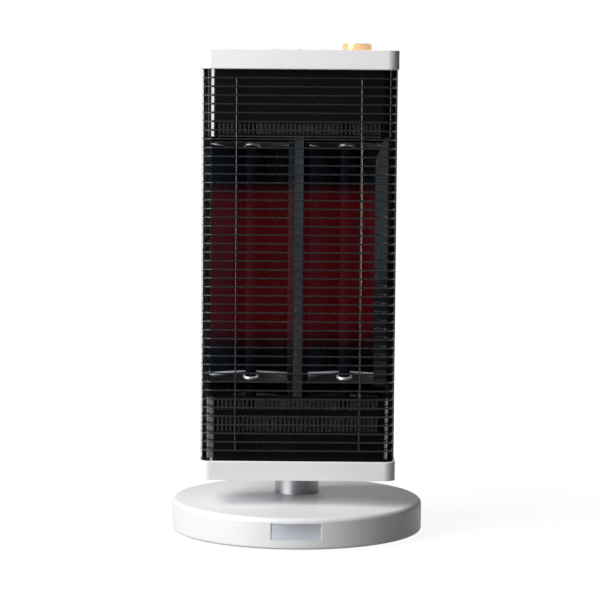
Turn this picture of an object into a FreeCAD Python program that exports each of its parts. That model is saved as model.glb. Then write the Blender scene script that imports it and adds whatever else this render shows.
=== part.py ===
"""Free-standing far infrared heater, modelled as a parametric document.

A tall heating head with two rods in mirror troughs behind a wire guard is
carried by a silver column on a round foot. The column swings on the foot,
driven by a small motor and a toothed sector, and at its top a hinge lets the
head lean back and turn from upright to lying. Sizes are millimetres, +Z is up,
the head faces -Y, and the origin lies on the floor under the foot's centre.
"""

import FreeCAD, Part
import math
import os
import Sketcher
from FreeCAD import Placement, Rotation, Vector

# Driving dimensions: alias, value in millimetres, degrees or a count.
SIZES = [
    # Round foot
    ("base_diameter", 350.0),
    ("base_rim_height", 47.5),
    ("base_crown", 5.0),
    ("crown_flat", 60.0),
    ("base_wall", 4.0),
    ("base_lift", 5.0),
    ("base_rim_chamfer", 3.0),
    ("plate_gap", 0.3),
    ("plate_thickness", 2.5),
    ("foot_height", 6.0),
    ("foot_radius", 11.0),
    ("foot_inset", 35.0),
    ("foot_count", 5),
    ("rib_thickness", 3.0),
    ("rib_depth", 9.0),
    ("ballast_gap", 1.0),
    ("ballast_width", 32.0),
    ("ballast_length", 150.0),
    ("ballast_height", 16.0),
    ("badge_width", 68.4),
    ("badge_height", 22.6),
    ("badge_level", 29.0),
    ("badge_recess", 3.2),
    ("badge_thickness", 1.2),
    ("badge_gap", 0.2),
    ("gland_level", 22.0),
    ("gland_width", 18.0),
    ("gland_height", 13.0),
    ("gland_slot", 7.0),
    ("gland_flange", 3.0),
    ("gland_flange_thickness", 3.0),
    # Swing bearing and drive in the foot
    ("running_gap", 0.05),
    ("spindle_radius", 18.0),
    ("bearing_wall", 6.0),
    ("bearing_flange_width", 70.0),
    ("bearing_flange_thickness", 4.0),
    ("bearing_height", 23.0),
    ("thrust_gap", 0.1),
    ("turntable_radius", 50.0),
    ("turntable_thickness", 4.0),
    ("spigot_height", 9.0),
    ("gear_module", 2.0),
    ("gear_pressure_angle", 25.0),
    ("gear_backlash", 0.3),
    ("gear_thickness", 4.0),
    ("sector_teeth", 60),
    ("sector_reach", 8),
    ("sector_inner_radius", 40.0),
    ("pinion_teeth", 12),
    ("pinion_overlap", 0.8),
    ("motor_radius", 25.0),
    ("motor_height", 14.0),
    ("motor_shaft_radius", 3.0),
    ("motor_shaft_depth", 9.0),
    ("motor_ear_radius", 6.0),
    ("motor_ear_reach", 30.0),
    ("motor_ear_thickness", 2.0),
    ("board_gap", 10.0),
    ("power_board_width", 40.0),
    ("power_board_length", 56.0),
    ("board_thickness", 1.6),
    ("spacer_height", 9.0),
    ("spacer_width", 6.0),
    ("relay_width", 20.0),
    ("relay_height", 15.0),
    ("tip_switch_size", 24.0),
    ("tip_switch_height", 18.0),
    # Column and head hinge
    ("post_setback", 20.0),
    ("post_diameter", 62.0),
    ("post_wall", 2.5),
    ("post_gap", 0.8),
    ("seat_gap", 0.1),
    ("yoke_collar", 9.0),
    ("yoke_clearance", 13.0),
    ("yoke_width", 36.0),
    ("yoke_ear_thickness", 8.0),
    ("yoke_slot", 36.0),
    ("hinge_setback", 16.0),
    ("pivot_height", 390.0),
    ("pin_radius", 5.0),
    ("pin_proud", 2.0),
    ("barrel_radius", 16.0),
    ("neck_width", 26.0),
    ("neck_height", 24.0),
    ("flange_radius", 30.0),
    ("flange_thickness", 7.0),
    ("flange_gap", 0.5),
    ("hub_radius", 24.0),
    ("hub_gap", 1.0),
    ("roll_bush_wall", 6.0),
    ("retainer_overlap", 4.0),
    ("retainer_thickness", 3.0),
    # Head envelope, caps and rear shell
    ("head_foot_height", 88.0),
    ("head_length", 584.5),
    ("head_width", 268.5),
    ("head_reach", 108.0),
    ("head_depth", 91.0),
    ("cap_height", 26.2),
    ("cap_wall", 2.5),
    ("cap_front_round", 16.0),
    ("cap_rear_round", 30.0),
    ("cap_edge_chamfer", 2.0),
    ("deck_thickness", 2.0),
    ("deck_gap", 0.2),
    ("shell_inset", 0.8),
    ("shell_wall", 2.5),
    ("shell_side_depth", 44.0),
    ("shell_round", 28.0),
    ("shell_rib_spread", 98.0),
    ("vent_pitch", 14.0),
    ("vent_width", 5.0),
    ("vent_height", 38.0),
    ("vent_count", 11),
    ("vent_rise", 40.0),
    # Chassis, panels and guard
    ("chassis_gap", 15.0),
    ("chassis_thickness", 1.5),
    ("sheet_thickness", 1.5),
    ("frame_flange", 10.0),
    ("panel_inset", 10.5),
    ("panel_setback", 15.0),
    ("panel_round", 11.0),
    ("panel_side_depth", 30.0),
    ("panel_lip", 12.0),
    ("upper_panel_height", 91.0),
    ("lower_panel_height", 87.0),
    ("slot_side_margin", 12.6),
    ("slot_width", 2.8),
    ("slot_count", 40),
    ("slot_height", 14.0),
    ("tall_slot_height", 22.0),
    ("slot_margin", 4.0),
    ("slot_row_gap", 8.0),
    ("guard_wire", 2.2),
    ("guard_pitch", 11.78),
    ("guard_wire_count", 44),
    ("guard_margin", 14.0),
    ("guard_inset", 3.2),
    ("guard_setback", 4.0),
    ("guard_bend", 9.0),
    ("guard_upright_spacing", 169.0),
    ("rail_width", 6.0),
    ("rail_thickness", 1.6),
    ("rail_setback", 2.0),
    ("clip_height", 12.0),
    ("clip_spacing", 150.0),
    # Mirrors and heating rods
    ("mirror_setback", 4.0),
    ("mirror_thickness", 1.0),
    ("mirror_curve_depth", 31.25),
    ("mirror_flare", 6.625),
    ("mirror_bowl_half", 24.0),
    ("divider_width", 15.0),
    ("divider_thickness", 1.4),
    ("divider_bevel", 1.0),
    ("end_plate_slope", 13.0),
    ("upper_end_drop", 7.0),
    ("lower_end_rise", 19.0),
    ("end_plate_thickness", 1.0),
    ("end_plate_gap", 0.1),
    ("rod_diameter", 15.0),
    ("rod_overrun", 24.0),
    ("rod_gap", 0.3),
    ("terminal_width", 6.3),
    ("terminal_thickness", 1.0),
    ("terminal_length", 14.0),
    ("cutout_width", 20.0),
    ("cutout_height", 9.0),
    ("cutout_rise", 130.0),
    ("terminal_block_width", 60.0),
    ("terminal_block_height", 20.0),
    ("terminal_block_depth", 16.0),
    # Controls on the top cap
    ("control_setback", 46.0),
    ("dial_inset", 56.75),
    ("dial_diameter", 39.5),
    ("dial_height", 9.5),
    ("dial_gap", 0.4),
    ("dial_rim", 3.5),
    ("dial_cap_thickness", 1.0),
    ("dial_shaft_radius", 3.0),
    ("encoder_size", 14.0),
    ("encoder_height", 7.0),
    ("encoder_depth", 5.0),
    ("button_length", 22.0),
    ("button_width", 10.0),
    ("button_pitch", 30.0),
    ("button_gap", 0.3),
    ("button_proud", 0.8),
    ("button_flange", 2.0),
    ("button_flange_thickness", 2.0),
    ("button_travel", 1.5),
    ("switch_size", 6.0),
    ("control_board_drop", 14.0),
    ("control_board_depth", 44.0),
    ("control_board_margin", 8.0),
]

# Foot levels and radii
BASE_RADIUS = "(Sizes.base_diameter / 2)"
BASE_INNER = f"({BASE_RADIUS} - Sizes.base_wall)"
CROWN_TOP = "(Sizes.base_rim_height + Sizes.base_crown)"
PLATE_TOP = "(Sizes.foot_height + Sizes.plate_thickness)"
BADGE_SEAT = f"({BASE_RADIUS} - Sizes.badge_recess)"

# Swing drive levels, from the plate upwards
BEARING_BORE = "(Sizes.spindle_radius + Sizes.running_gap)"
BEARING_TOP = f"({PLATE_TOP} + Sizes.bearing_height)"
TURNTABLE_LOW = f"({BEARING_TOP} + Sizes.thrust_gap)"
TURNTABLE_TOP = f"({TURNTABLE_LOW} + Sizes.turntable_thickness)"
GEAR_LOW = f"({TURNTABLE_LOW} - Sizes.gear_thickness)"
GEAR_DISTANCE = "(Sizes.gear_module * (Sizes.sector_teeth + Sizes.pinion_teeth) / 2)"
MOTOR_LINE = f"(Sizes.post_setback - {GEAR_DISTANCE})"
MOTOR_TOP = f"({PLATE_TOP} + Sizes.motor_height)"
POWER_BOARD_LOW = f"({PLATE_TOP} + Sizes.spacer_height)"
BALLAST_RADIUS = f"({BASE_INNER} - Sizes.rib_depth - Sizes.ballast_gap)"
BALLAST_OUTER = f"sqrt({BALLAST_RADIUS} ^ 2 - (Sizes.ballast_length / 2) ^ 2)"
BALLAST_INNER = f"({BALLAST_OUTER} - Sizes.ballast_width)"
BOARD_OUTER = f"({BALLAST_INNER} - Sizes.board_gap)"

# Column and hinge
POST_RADIUS = "(Sizes.post_diameter / 2)"
POST_BORE = f"({POST_RADIUS} - Sizes.post_wall)"
YOKE_TOP = "(Sizes.pivot_height - Sizes.flange_radius - Sizes.yoke_clearance)"
POST_TOP = f"({YOKE_TOP} - Sizes.yoke_collar)"
YOKE_INNER = "(Sizes.yoke_slot / 2)"
YOKE_OUTER = f"({YOKE_INNER} + Sizes.yoke_ear_thickness)"

# Head envelope
HEAD_TOP = "(Sizes.head_foot_height + Sizes.head_length)"
HEAD_SIDE = "(Sizes.head_width / 2)"
HEAD_FRONT = "(-Sizes.head_reach)"
HEAD_BACK = "(Sizes.head_depth - Sizes.head_reach)"
LOWER_DECK = "(Sizes.head_foot_height + Sizes.cap_height)"
UPPER_DECK = f"({HEAD_TOP} - Sizes.cap_height)"
SHELL_SIDE = f"({HEAD_SIDE} - Sizes.shell_inset)"
SHELL_INNER_BACK = f"({HEAD_BACK} - Sizes.shell_wall)"
CHASSIS_BACK = f"({SHELL_INNER_BACK} - Sizes.chassis_gap)"
CHASSIS_FRONT = f"({CHASSIS_BACK} - Sizes.chassis_thickness)"
FLANGE_FRONT = f"({HEAD_BACK} + Sizes.flange_gap)"
FLANGE_BACK = f"({FLANGE_FRONT} + Sizes.flange_thickness)"
HUB_END = f"({CHASSIS_FRONT} - Sizes.flange_gap)"

# Panels, window and mirrors
PANEL_SIDE = f"({HEAD_SIDE} - Sizes.panel_inset)"
PANEL_INNER = f"({PANEL_SIDE} - Sizes.sheet_thickness)"
PANEL_FRONT = f"({HEAD_FRONT} + Sizes.panel_setback)"
FRAME_INNER = f"({PANEL_INNER} - Sizes.sheet_thickness)"
FRAME_FRONT = f"({PANEL_FRONT} + Sizes.panel_round)"
WINDOW_LOW = f"({LOWER_DECK} + Sizes.lower_panel_height)"
WINDOW_HIGH = f"({UPPER_DECK} - Sizes.upper_panel_height)"
MIRROR_FRONT = f"({PANEL_FRONT} + Sizes.mirror_setback)"
MIRROR_INNER = "(Sizes.divider_width / 2)"
MIRROR_HALF = f"(({FRAME_INNER} - {MIRROR_INNER}) / 2)"
ROD_LINE = f"(({FRAME_INNER} + {MIRROR_INNER}) / 2)"
CURVE_HALF = f"({MIRROR_HALF} - Sizes.mirror_flare)"
MIRROR_FOCUS = f"({CURVE_HALF} ^ 2 / (4 * Sizes.mirror_curve_depth))"
FLARE_SLOPE = f"({CURVE_HALF} / (2 * {MIRROR_FOCUS}))"
FLARE_DEPTH = f"(Sizes.mirror_flare * {FLARE_SLOPE})"
BOWL_DEPTH = f"(Sizes.mirror_bowl_half ^ 2 / (4 * {MIRROR_FOCUS}))"
MIRROR_VERTEX = f"({MIRROR_FRONT} + {FLARE_DEPTH} + Sizes.mirror_curve_depth)"
ROD_DEPTH = f"({MIRROR_VERTEX} - {MIRROR_FOCUS})"
ROD_RADIUS = "(Sizes.rod_diameter / 2)"
ROD_LOW = f"({WINDOW_LOW} - Sizes.rod_overrun)"
ROD_HIGH = f"({WINDOW_HIGH} + Sizes.rod_overrun)"

# Guard
GUARD_SIDE = f"({HEAD_SIDE} - Sizes.guard_inset)"
GUARD_FRONT = f"({HEAD_FRONT} + Sizes.guard_setback)"
GUARD_BACK = f"({HEAD_BACK} - Sizes.shell_side_depth - Sizes.rail_setback)"
GUARD_LOW = f"({LOWER_DECK} + Sizes.guard_margin)"
GUARD_SPAN = "(Sizes.guard_pitch * (Sizes.guard_wire_count - 1))"
GUARD_HIGH = f"({GUARD_LOW} + {GUARD_SPAN})"
RAIL_OUTER = f"({GUARD_SIDE} - Sizes.guard_wire)"
RAIL_INNER = f"({RAIL_OUTER} - Sizes.rail_thickness)"

# Controls
CONTROL_LINE = f"({HEAD_FRONT} + Sizes.control_setback)"
DIAL_LINE = f"({HEAD_SIDE} - Sizes.dial_inset)"
CEILING = f"({HEAD_TOP} - Sizes.cap_wall)"
BOARD_TOP = f"({CEILING} - Sizes.control_board_drop)"
BOARD_LOW = f"({BOARD_TOP} - Sizes.board_thickness)"
BUTTON_FLANGE_TOP = f"({CEILING} - Sizes.seat_gap)"
BUTTON_FLANGE_LOW = f"({BUTTON_FLANGE_TOP} - Sizes.button_flange_thickness)"

TOLERANCE = 0.01
LEFT, RIGHT = -1, 1
AXIS_TURNS = {
    "x": Rotation(Vector(0, 1, 0), 90),
    "y": Rotation(Vector(1, 0, 0), -90),
    "z": Rotation(),
}

doc = FreeCAD.newDocument("far_infrared_heater")
sheet = doc.addObject("Spreadsheet::Sheet", "Sizes")
for row, (alias, value) in enumerate(SIZES, start=1):
    sheet.set(f"A{row}", alias)
    sheet.set(f"B{row}", str(value))
    sheet.setAlias(f"B{row}", alias)
doc.recompute()

nodes = []


def number(expression):
    """Value of an expression over the sheet's sizes."""
    value = sheet.evalExpression(expression)
    return float(getattr(value, "Value", value))


def keep(item, label):
    """Name an object as one of the sub-parts that are written out."""
    item.Label = label
    nodes.append(item)
    return item


def new_body(label):
    """Empty body for one sub-part."""
    return keep(doc.addObject("PartDesign::Body", label), label)


def place(item, **expressions):
    """Tie an object's place to the sizes, axis by axis."""
    for axis, expression in expressions.items():
        item.setExpression(f"Placement.Base.{axis}", expression)


def origin_feature(body, role):
    """Plane or axis of a body's own origin."""
    return next(item for item in body.Origin.OriginFeatures if item.Role == role)


def sketch_on(body, plane, level="0"):
    """Empty sketch on an origin plane, moved to a level along the plane's axis."""
    sketch = body.newObject("Sketcher::SketchObject", "Sketch")
    sketch.AttachmentSupport = [(origin_feature(body, f"{plane}_Plane"), "")]
    sketch.MapMode = "FlatFace"
    # The XZ plane looks along -Y, so its levels change sign.
    offset = f"-({level})" if plane == "XZ" else level
    sketch.setExpression("AttachmentOffset.Base.z", offset)
    return sketch


def tie_point(sketch, geometry, point, across, up):
    """Tie one point of a sketch to two expressions."""
    for kind, axis, expression in (("DistanceX", -2, across), ("DistanceY", -1, up)):
        if expression == "0":
            sketch.addConstraint(Sketcher.Constraint("PointOnObject", geometry, point, axis))
            continue
        rule = Sketcher.Constraint(kind, -1, 1, geometry, point, number(expression))
        index = sketch.addConstraint(rule)
        sketch.setExpression(f"Constraints[{index}]", expression)


def tie_radius(sketch, geometry, radius):
    """Tie the radius of a circle or arc to an expression."""
    index = sketch.addConstraint(Sketcher.Constraint("Radius", geometry, number(radius)))
    sketch.setExpression(f"Constraints[{index}]", radius)


def arc_between(start, end, radius, side):
    """Arc under a half circle whose centre lies to the left or right of its way."""
    way = end - start
    middle = (start + end) * 0.5
    height = math.sqrt(radius ** 2 - way.Length ** 2 / 4)
    across = Vector(-way.y, way.x, 0).normalize() * (height * -side)
    centre = middle + across
    first, last = (start, end) if side == LEFT else (end, start)
    angles = [math.atan2(point.y - centre.y, point.x - centre.x) for point in (first, last)]
    return Part.ArcOfCircle(Part.Circle(centre, Vector(0, 0, 1), radius), *angles)


def outline(sketch, points):
    """Closed outline through points, each (across, up) and perhaps (radius, side) of an arc."""
    places = [Vector(number(point[0]), number(point[1]), 0) for point in points]
    count = len(points)
    ends = []
    for index, point in enumerate(points):
        start, end = places[index], places[(index + 1) % count]
        if len(point) == 2:
            sketch.addGeometry(Part.LineSegment(start, end), False)
            ends.append((1, 2))
        else:
            radius, side = point[2]
            sketch.addGeometry(arc_between(start, end, number(radius), side), False)
            ends.append((1, 2) if side == LEFT else (2, 1))
    for index in range(count):
        following = (index + 1) % count
        joint = Sketcher.Constraint("Coincident", index, ends[index][1], following, ends[following][0])
        sketch.addConstraint(joint)
    for index, point in enumerate(points):
        tie_point(sketch, index, ends[index][0], point[0], point[1])
        if len(point) == 3:
            tie_radius(sketch, index, point[2][0])
    return sketch


def open_path(sketch, points):
    """Straight runs through points, left open at both ends."""
    places = [Vector(number(across), number(up), 0) for across, up in points]
    for index, (start, end) in enumerate(zip(places, places[1:])):
        sketch.addGeometry(Part.LineSegment(start, end), False)
        tie_point(sketch, index, 1, *points[index])
        if index:
            sketch.addConstraint(Sketcher.Constraint("Coincident", index - 1, 2, index, 1))
    tie_point(sketch, len(points) - 2, 2, *points[-1])
    return sketch


def rectangle(sketch, left, right, low, high):
    """Closed rectangle between four expressions."""
    return outline(sketch, [(left, low), (right, low), (right, high), (left, high)])


def rounded_rectangle(sketch, side, front, back, front_round, back_round):
    """Rectangle about the middle line whose front and back corners have their own rounds."""
    return outline(sketch, [
        (f"-{side} + {front_round}", front),
        (f"{side} - {front_round}", front, (front_round, LEFT)),
        (side, f"{front} + {front_round}"),
        (side, f"{back} - {back_round}", (back_round, LEFT)),
        (f"{side} - {back_round}", back),
        (f"-{side} + {back_round}", back, (back_round, LEFT)),
        (f"-{side}", f"{back} - {back_round}"),
        (f"-{side}", f"{front} + {front_round}", (front_round, LEFT)),
    ])


def circles(sketch, rings):
    """Circles, each (across, up, radius)."""
    for across, up, radius in rings:
        centre = Vector(number(across), number(up), 0)
        circle = Part.Circle(centre, Vector(0, 0, 1), number(radius))
        geometry = sketch.addGeometry(circle, False)
        tie_point(sketch, geometry, 3, across, up)
        tie_radius(sketch, geometry, radius)
    return sketch


def pad(body, sketch, length, against=False):
    """Pad a sketch along its plane's axis, or against it."""
    feature = body.newObject("PartDesign::Pad", "Pad")
    feature.Profile = sketch
    feature.setExpression("Length", length)
    feature.Reversed = against
    return feature


def checked_cut(body, feature):
    """Recompute a cut and make sure that it took something away."""
    before = body.Tip.BaseFeature.Shape.Volume
    doc.recompute()
    if feature.Shape.Volume > before - TOLERANCE:
        raise ValueError(f"{body.Label}: {feature.Label} cuts nothing")
    return feature


def pocket(body, sketch, length, against=True):
    """Cut a sketch against its plane's axis, or along it."""
    doc.recompute()
    feature = body.newObject("PartDesign::Pocket", "Pocket")
    feature.Profile = sketch
    feature.setExpression("Length", length)
    feature.Reversed = not against
    return checked_cut(body, feature)


def revolve(body, sketch):
    """Full turn of a sketch about its upright axis."""
    feature = body.newObject("PartDesign::Revolution", "Revolution")
    feature.Profile = sketch
    feature.ReferenceAxis = (sketch, ["V_Axis"])
    feature.Angle = 360
    return feature


def linear_pattern(body, originals, role, length, count):
    """Repeat features along an axis of the body's origin."""
    feature = body.newObject("PartDesign::LinearPattern", "LinearPattern")
    feature.Originals = originals
    feature.Direction = (origin_feature(body, role), [""])
    feature.setExpression("Length", length)
    feature.setExpression("Occurrences", count)
    body.Tip = feature
    return feature


def polar_pattern(body, originals, count):
    """Repeat features round the upright axis of the body's origin."""
    feature = body.newObject("PartDesign::PolarPattern", "PolarPattern")
    feature.Originals = originals
    feature.Axis = (origin_feature(body, "Z_Axis"), [""])
    feature.Angle = 360
    feature.setExpression("Occurrences", count)
    body.Tip = feature
    return feature


def mirror(body, originals, plane):
    """Mirror features in a plane of the body's origin."""
    feature = body.newObject("PartDesign::Mirrored", "Mirrored")
    feature.Originals = originals
    feature.MirrorPlane = (origin_feature(body, f"{plane}_Plane"), [""])
    body.Tip = feature
    return feature


def edges_at(shape, **levels):
    """Names of the edges that lie whole at the given x, y or z levels."""
    names = []
    for index, edge in enumerate(shape.Edges, start=1):
        box = edge.BoundBox
        spans = {"x": (box.XMin, box.XMax), "y": (box.YMin, box.YMax), "z": (box.ZMin, box.ZMax)}
        if all(abs(end - number(level)) < TOLERANCE for axis, level in levels.items()
               for end in spans[axis]):
            names.append(f"Edge{index}")
    return names


def dress_edges(body, kind, measure, value, groups):
    """Round or chamfer the edges at the given levels; each group is a dict for edges_at."""
    doc.recompute()
    base = body.Tip
    names = {name for levels in groups for name in edges_at(base.Shape, **levels)}
    if not names:
        raise ValueError(f"{body.Label}: no edge to dress")
    feature = body.newObject(f"PartDesign::{kind}", kind)
    feature.Base = (base, sorted(names))
    feature.setExpression(measure, value)
    return feature


def round_edges(body, radius, *groups):
    """Round the edges at the given levels."""
    return dress_edges(body, "Fillet", "Radius", radius, groups)


def chamfer_edges(body, size, *groups):
    """Chamfer the edges at the given levels."""
    return dress_edges(body, "Chamfer", "Size", size, groups)


def block(low, high):
    """Box between two corners given as expressions."""
    item = doc.addObject("Part::Box", "Block")
    for axis, side, start, end in zip("xyz", ("Length", "Width", "Height"), low, high):
        item.setExpression(side, f"({end}) - ({start})")
        item.setExpression(f"Placement.Base.{axis}", start)
    return item


def drum(axis, start, length, radius):
    """Cylinder along +axis from a start point given as expressions."""
    item = doc.addObject("Part::Cylinder", "Drum")
    item.Placement = Placement(Vector(), AXIS_TURNS[axis])
    item.setExpression("Radius", radius)
    item.setExpression("Height", length)
    place(item, x=start[0], y=start[1], z=start[2])
    return item


def join(*items):
    """Fuse objects into one solid."""
    item = doc.addObject("Part::MultiFuse", "Join")
    item.Shapes = list(items)
    item.Refine = True
    return item


def cut(base, *tools):
    """Cut tools from an object, one after another."""
    for tool in tools:
        item = doc.addObject("Part::Cut", "Cut")
        item.Base = base
        item.Tool = tool
        item.Refine = True
        base = item
    return base


def group(items):
    """Several loose solids held in one sub-part."""
    item = doc.addObject("Part::Compound", "Group")
    item.Links = list(items)
    return item


def mirrored(source):
    """Copy of an object mirrored from the right side to the left."""
    item = doc.addObject("Part::Mirroring", "Mirror")
    item.Source = source
    item.Base = Vector()
    item.Normal = Vector(1, 0, 0)
    return item


def solid(shape):
    """Object that holds a shape made in this file."""
    item = doc.addObject("Part::Feature", "Solid")
    item.Shape = shape
    return item


def ring_profile(body, points, setback="0"):
    """Turn a radius and height outline about the upright axis at a setback."""
    revolve(body, outline(sketch_on(body, "XZ"), points))
    place(body, y=setback)
    return body


def base_cover():
    """Moulded foot: wall, shallow dome, inner ribs, badge recess, post hole and lead hole."""
    body = new_body("base_cover")
    ceiling = "(Sizes.base_rim_height - Sizes.base_wall)"
    revolve(body, outline(sketch_on(body, "XZ"), [
        (BASE_INNER, "Sizes.base_lift"),
        (BASE_RADIUS, "Sizes.base_lift"),
        (BASE_RADIUS, "Sizes.base_rim_height - Sizes.base_rim_chamfer"),
        (f"{BASE_RADIUS} - Sizes.base_rim_chamfer", "Sizes.base_rim_height"),
        ("Sizes.crown_flat", CROWN_TOP),
        ("0", CROWN_TOP),
        ("0", ceiling),
        (BASE_INNER, ceiling),
    ]))
    half = "(Sizes.rib_thickness / 2)"
    rib = rectangle(sketch_on(body, "XY", PLATE_TOP), f"-{half}", half,
                    f"-{BASE_INNER} - Sizes.base_wall / 2", f"-{BASE_INNER} + Sizes.rib_depth")
    rib_pad = pad(body, rib, f"{ceiling} + Sizes.base_wall / 2 - {PLATE_TOP}")
    polar_pattern(body, [rib_pad], "Sizes.foot_count")
    post_hole = circles(sketch_on(body, "XY", CROWN_TOP),
                        [("0", "Sizes.post_setback", f"{POST_RADIUS} + Sizes.post_gap")])
    pocket(body, post_hole, "Sizes.base_wall + Sizes.base_crown")
    recess = rectangle(sketch_on(body, "YZ"),
                       f"-{BASE_RADIUS} - Sizes.badge_recess", f"-{BADGE_SEAT}",
                       "Sizes.badge_level - Sizes.badge_height / 2",
                       "Sizes.badge_level + Sizes.badge_height / 2")
    groove = body.newObject("PartDesign::Groove", "Groove")
    groove.Profile = recess
    groove.ReferenceAxis = (recess, ["V_Axis"])
    groove.setExpression("Angle", f"2 * asin(Sizes.badge_width / 2 / {BADGE_SEAT})")
    groove.Midplane = True
    checked_cut(body, groove)
    pocket(body, gland_outline(body, "0", "Sizes.gland_width", "Sizes.gland_height", "Sizes.seat_gap"),
           BASE_RADIUS)


def badge_plate():
    """Bare silver plate bent to the foot's wall."""
    body = new_body("badge_plate")
    half = "(Sizes.badge_height / 2 - Sizes.badge_gap)"
    back = f"({BADGE_SEAT} + Sizes.badge_gap)"
    section = rectangle(sketch_on(body, "YZ"), f"-{back} - Sizes.badge_thickness", f"-{back}",
                        f"Sizes.badge_level - {half}", f"Sizes.badge_level + {half}")
    turn = body.newObject("PartDesign::Revolution", "Revolution")
    turn.Profile = section
    turn.ReferenceAxis = (section, ["V_Axis"])
    turn.setExpression("Angle", f"2 * asin((Sizes.badge_width / 2 - Sizes.badge_gap) / {BADGE_SEAT})")
    turn.Midplane = True


def base_plate():
    """Steel floor plate with the square-flanged bearing sleeve in which the spindle runs."""
    body = new_body("base_plate")
    edge = f"{BASE_INNER} - Sizes.plate_gap"
    axis = ("0", "Sizes.post_setback")
    pad(body, circles(sketch_on(body, "XY", "Sizes.foot_height"), [("0", "0", edge)]),
        "Sizes.plate_thickness")
    half = "(Sizes.bearing_flange_width / 2)"
    pad(body, rectangle(sketch_on(body, "XY", PLATE_TOP), f"-{half}", half,
                        f"Sizes.post_setback - {half}", f"Sizes.post_setback + {half}"),
        "Sizes.bearing_flange_thickness")
    pad(body, circles(sketch_on(body, "XY", PLATE_TOP), [(*axis, f"{BEARING_BORE} + Sizes.bearing_wall")]),
        "Sizes.bearing_height")
    pocket(body, circles(sketch_on(body, "XY", BEARING_TOP), [(*axis, BEARING_BORE)]),
           "Sizes.bearing_height")


def ballast_blocks():
    """Iron weights on both sides of the floor plate that keep the tall head from toppling."""
    half = "Sizes.ballast_length / 2"
    weight = block((BALLAST_INNER, f"-{half}", PLATE_TOP),
                   (BALLAST_OUTER, half, f"{PLATE_TOP} + Sizes.ballast_height"))
    keep(group([weight, mirrored(weight)]), "ballast_blocks")


def rubber_feet():
    """Round rubber feet under the floor plate."""
    body = new_body("rubber_feet")
    foot = pad(body, circles(sketch_on(body, "XY"), [("0", f"{BASE_RADIUS} - Sizes.foot_inset", "Sizes.foot_radius")]),
               "Sizes.foot_height")
    polar_pattern(body, [foot], "Sizes.foot_count")


def gland_outline(body, level, width, height, margin="0"):
    """Rectangle about the gland's middle, grown by a margin."""
    across, up = f"({width} / 2 + {margin})", f"({height} / 2 + {margin})"
    return rectangle(sketch_on(body, "XZ", level), f"-{across}", across,
                     f"Sizes.gland_level - {up}", f"Sizes.gland_level + {up}")


def cord_gland():
    """Flanged frame at the foot's back through which a mains lead enters."""
    body = new_body("cord_gland")
    flange_half = "(Sizes.gland_width / 2 + Sizes.gland_flange)"
    seat = f"(sqrt({BASE_INNER} ^ 2 - {flange_half} ^ 2) - Sizes.seat_gap)"
    flange = gland_outline(body, seat, "Sizes.gland_width", "Sizes.gland_height", "Sizes.gland_flange")
    pad(body, flange, "Sizes.gland_flange_thickness")
    sleeve = gland_outline(body, seat, "Sizes.gland_width", "Sizes.gland_height")
    pad(body, sleeve, f"{BASE_RADIUS} - {seat}", against=True)
    slot = gland_outline(body, f"{seat} - Sizes.gland_flange_thickness",
                         "Sizes.gland_slot", "Sizes.gland_slot")
    pocket(body, slot, "Sizes.base_wall * 4")


def turntable():
    """Spindle, flange and spigot on which the column stands."""
    low = f"({PLATE_TOP} + Sizes.seat_gap)"
    spigot = f"({POST_BORE} - Sizes.seat_gap)"
    top = f"({TURNTABLE_TOP} + Sizes.spigot_height)"
    ring_profile(new_body("turntable"), [
        ("0", low),
        ("Sizes.spindle_radius", low),
        ("Sizes.spindle_radius", TURNTABLE_LOW),
        ("Sizes.turntable_radius", TURNTABLE_LOW),
        ("Sizes.turntable_radius", TURNTABLE_TOP),
        (spigot, TURNTABLE_TOP),
        (spigot, top),
        ("0", top),
    ], "Sizes.post_setback")


def involute(pressure):
    """Involute function of a pressure angle in radians."""
    return math.tan(pressure) - pressure


def tooth_points(teeth, centre_angle):
    """Points of one tooth from root to root, in the gear's plane about its axis."""
    module = number("Sizes.gear_module")
    pressure = math.radians(number("Sizes.gear_pressure_angle"))
    pitch = module * teeth / 2
    base = pitch * math.cos(pressure)
    root, tip = pitch - 1.25 * module, pitch + 0.9 * module
    start = max(base, root)
    half = math.pi / (2 * teeth) - number("Sizes.gear_backlash") / (2 * pitch)
    radii = [start, (start + tip) / 2, tip]
    flank = [(radius, half + involute(pressure) - involute(math.acos(base / radius)))
             for radius in radii]
    flank.insert(0, (root, flank[0][1]))
    turns = [(radius, -turn) for radius, turn in flank]
    turns += [(radius, turn) for radius, turn in reversed(flank)]
    return [Vector(radius * math.cos(centre_angle + turn), radius * math.sin(centre_angle + turn), 0)
            for radius, turn in turns]


def sector_gear():
    """Toothed sector under the turntable's flange, facing the motor at rest."""
    teeth, reach = round(number("Sizes.sector_teeth")), round(number("Sizes.sector_reach"))
    step, middle = 2 * math.pi / teeth, -math.pi / 2
    rim = [point for index in range(-reach, reach + 1)
           for point in tooth_points(teeth, middle + index * step)]
    inner = number("Sizes.sector_inner_radius")
    first, last = (point.normalize() * inner for point in (Vector(rim[0]), Vector(rim[-1])))
    inside = Part.Arc(last, Vector(0, -inner, 0), first).toShape()
    border = Part.makePolygon([first, *rim, last])
    face = Part.Face(Part.Wire([*border.Edges, inside]))
    gear = keep(solid(face.extrude(Vector(0, 0, number("Sizes.gear_thickness")))), "sector_gear")
    place(gear, y="Sizes.post_setback", z=GEAR_LOW)


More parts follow.
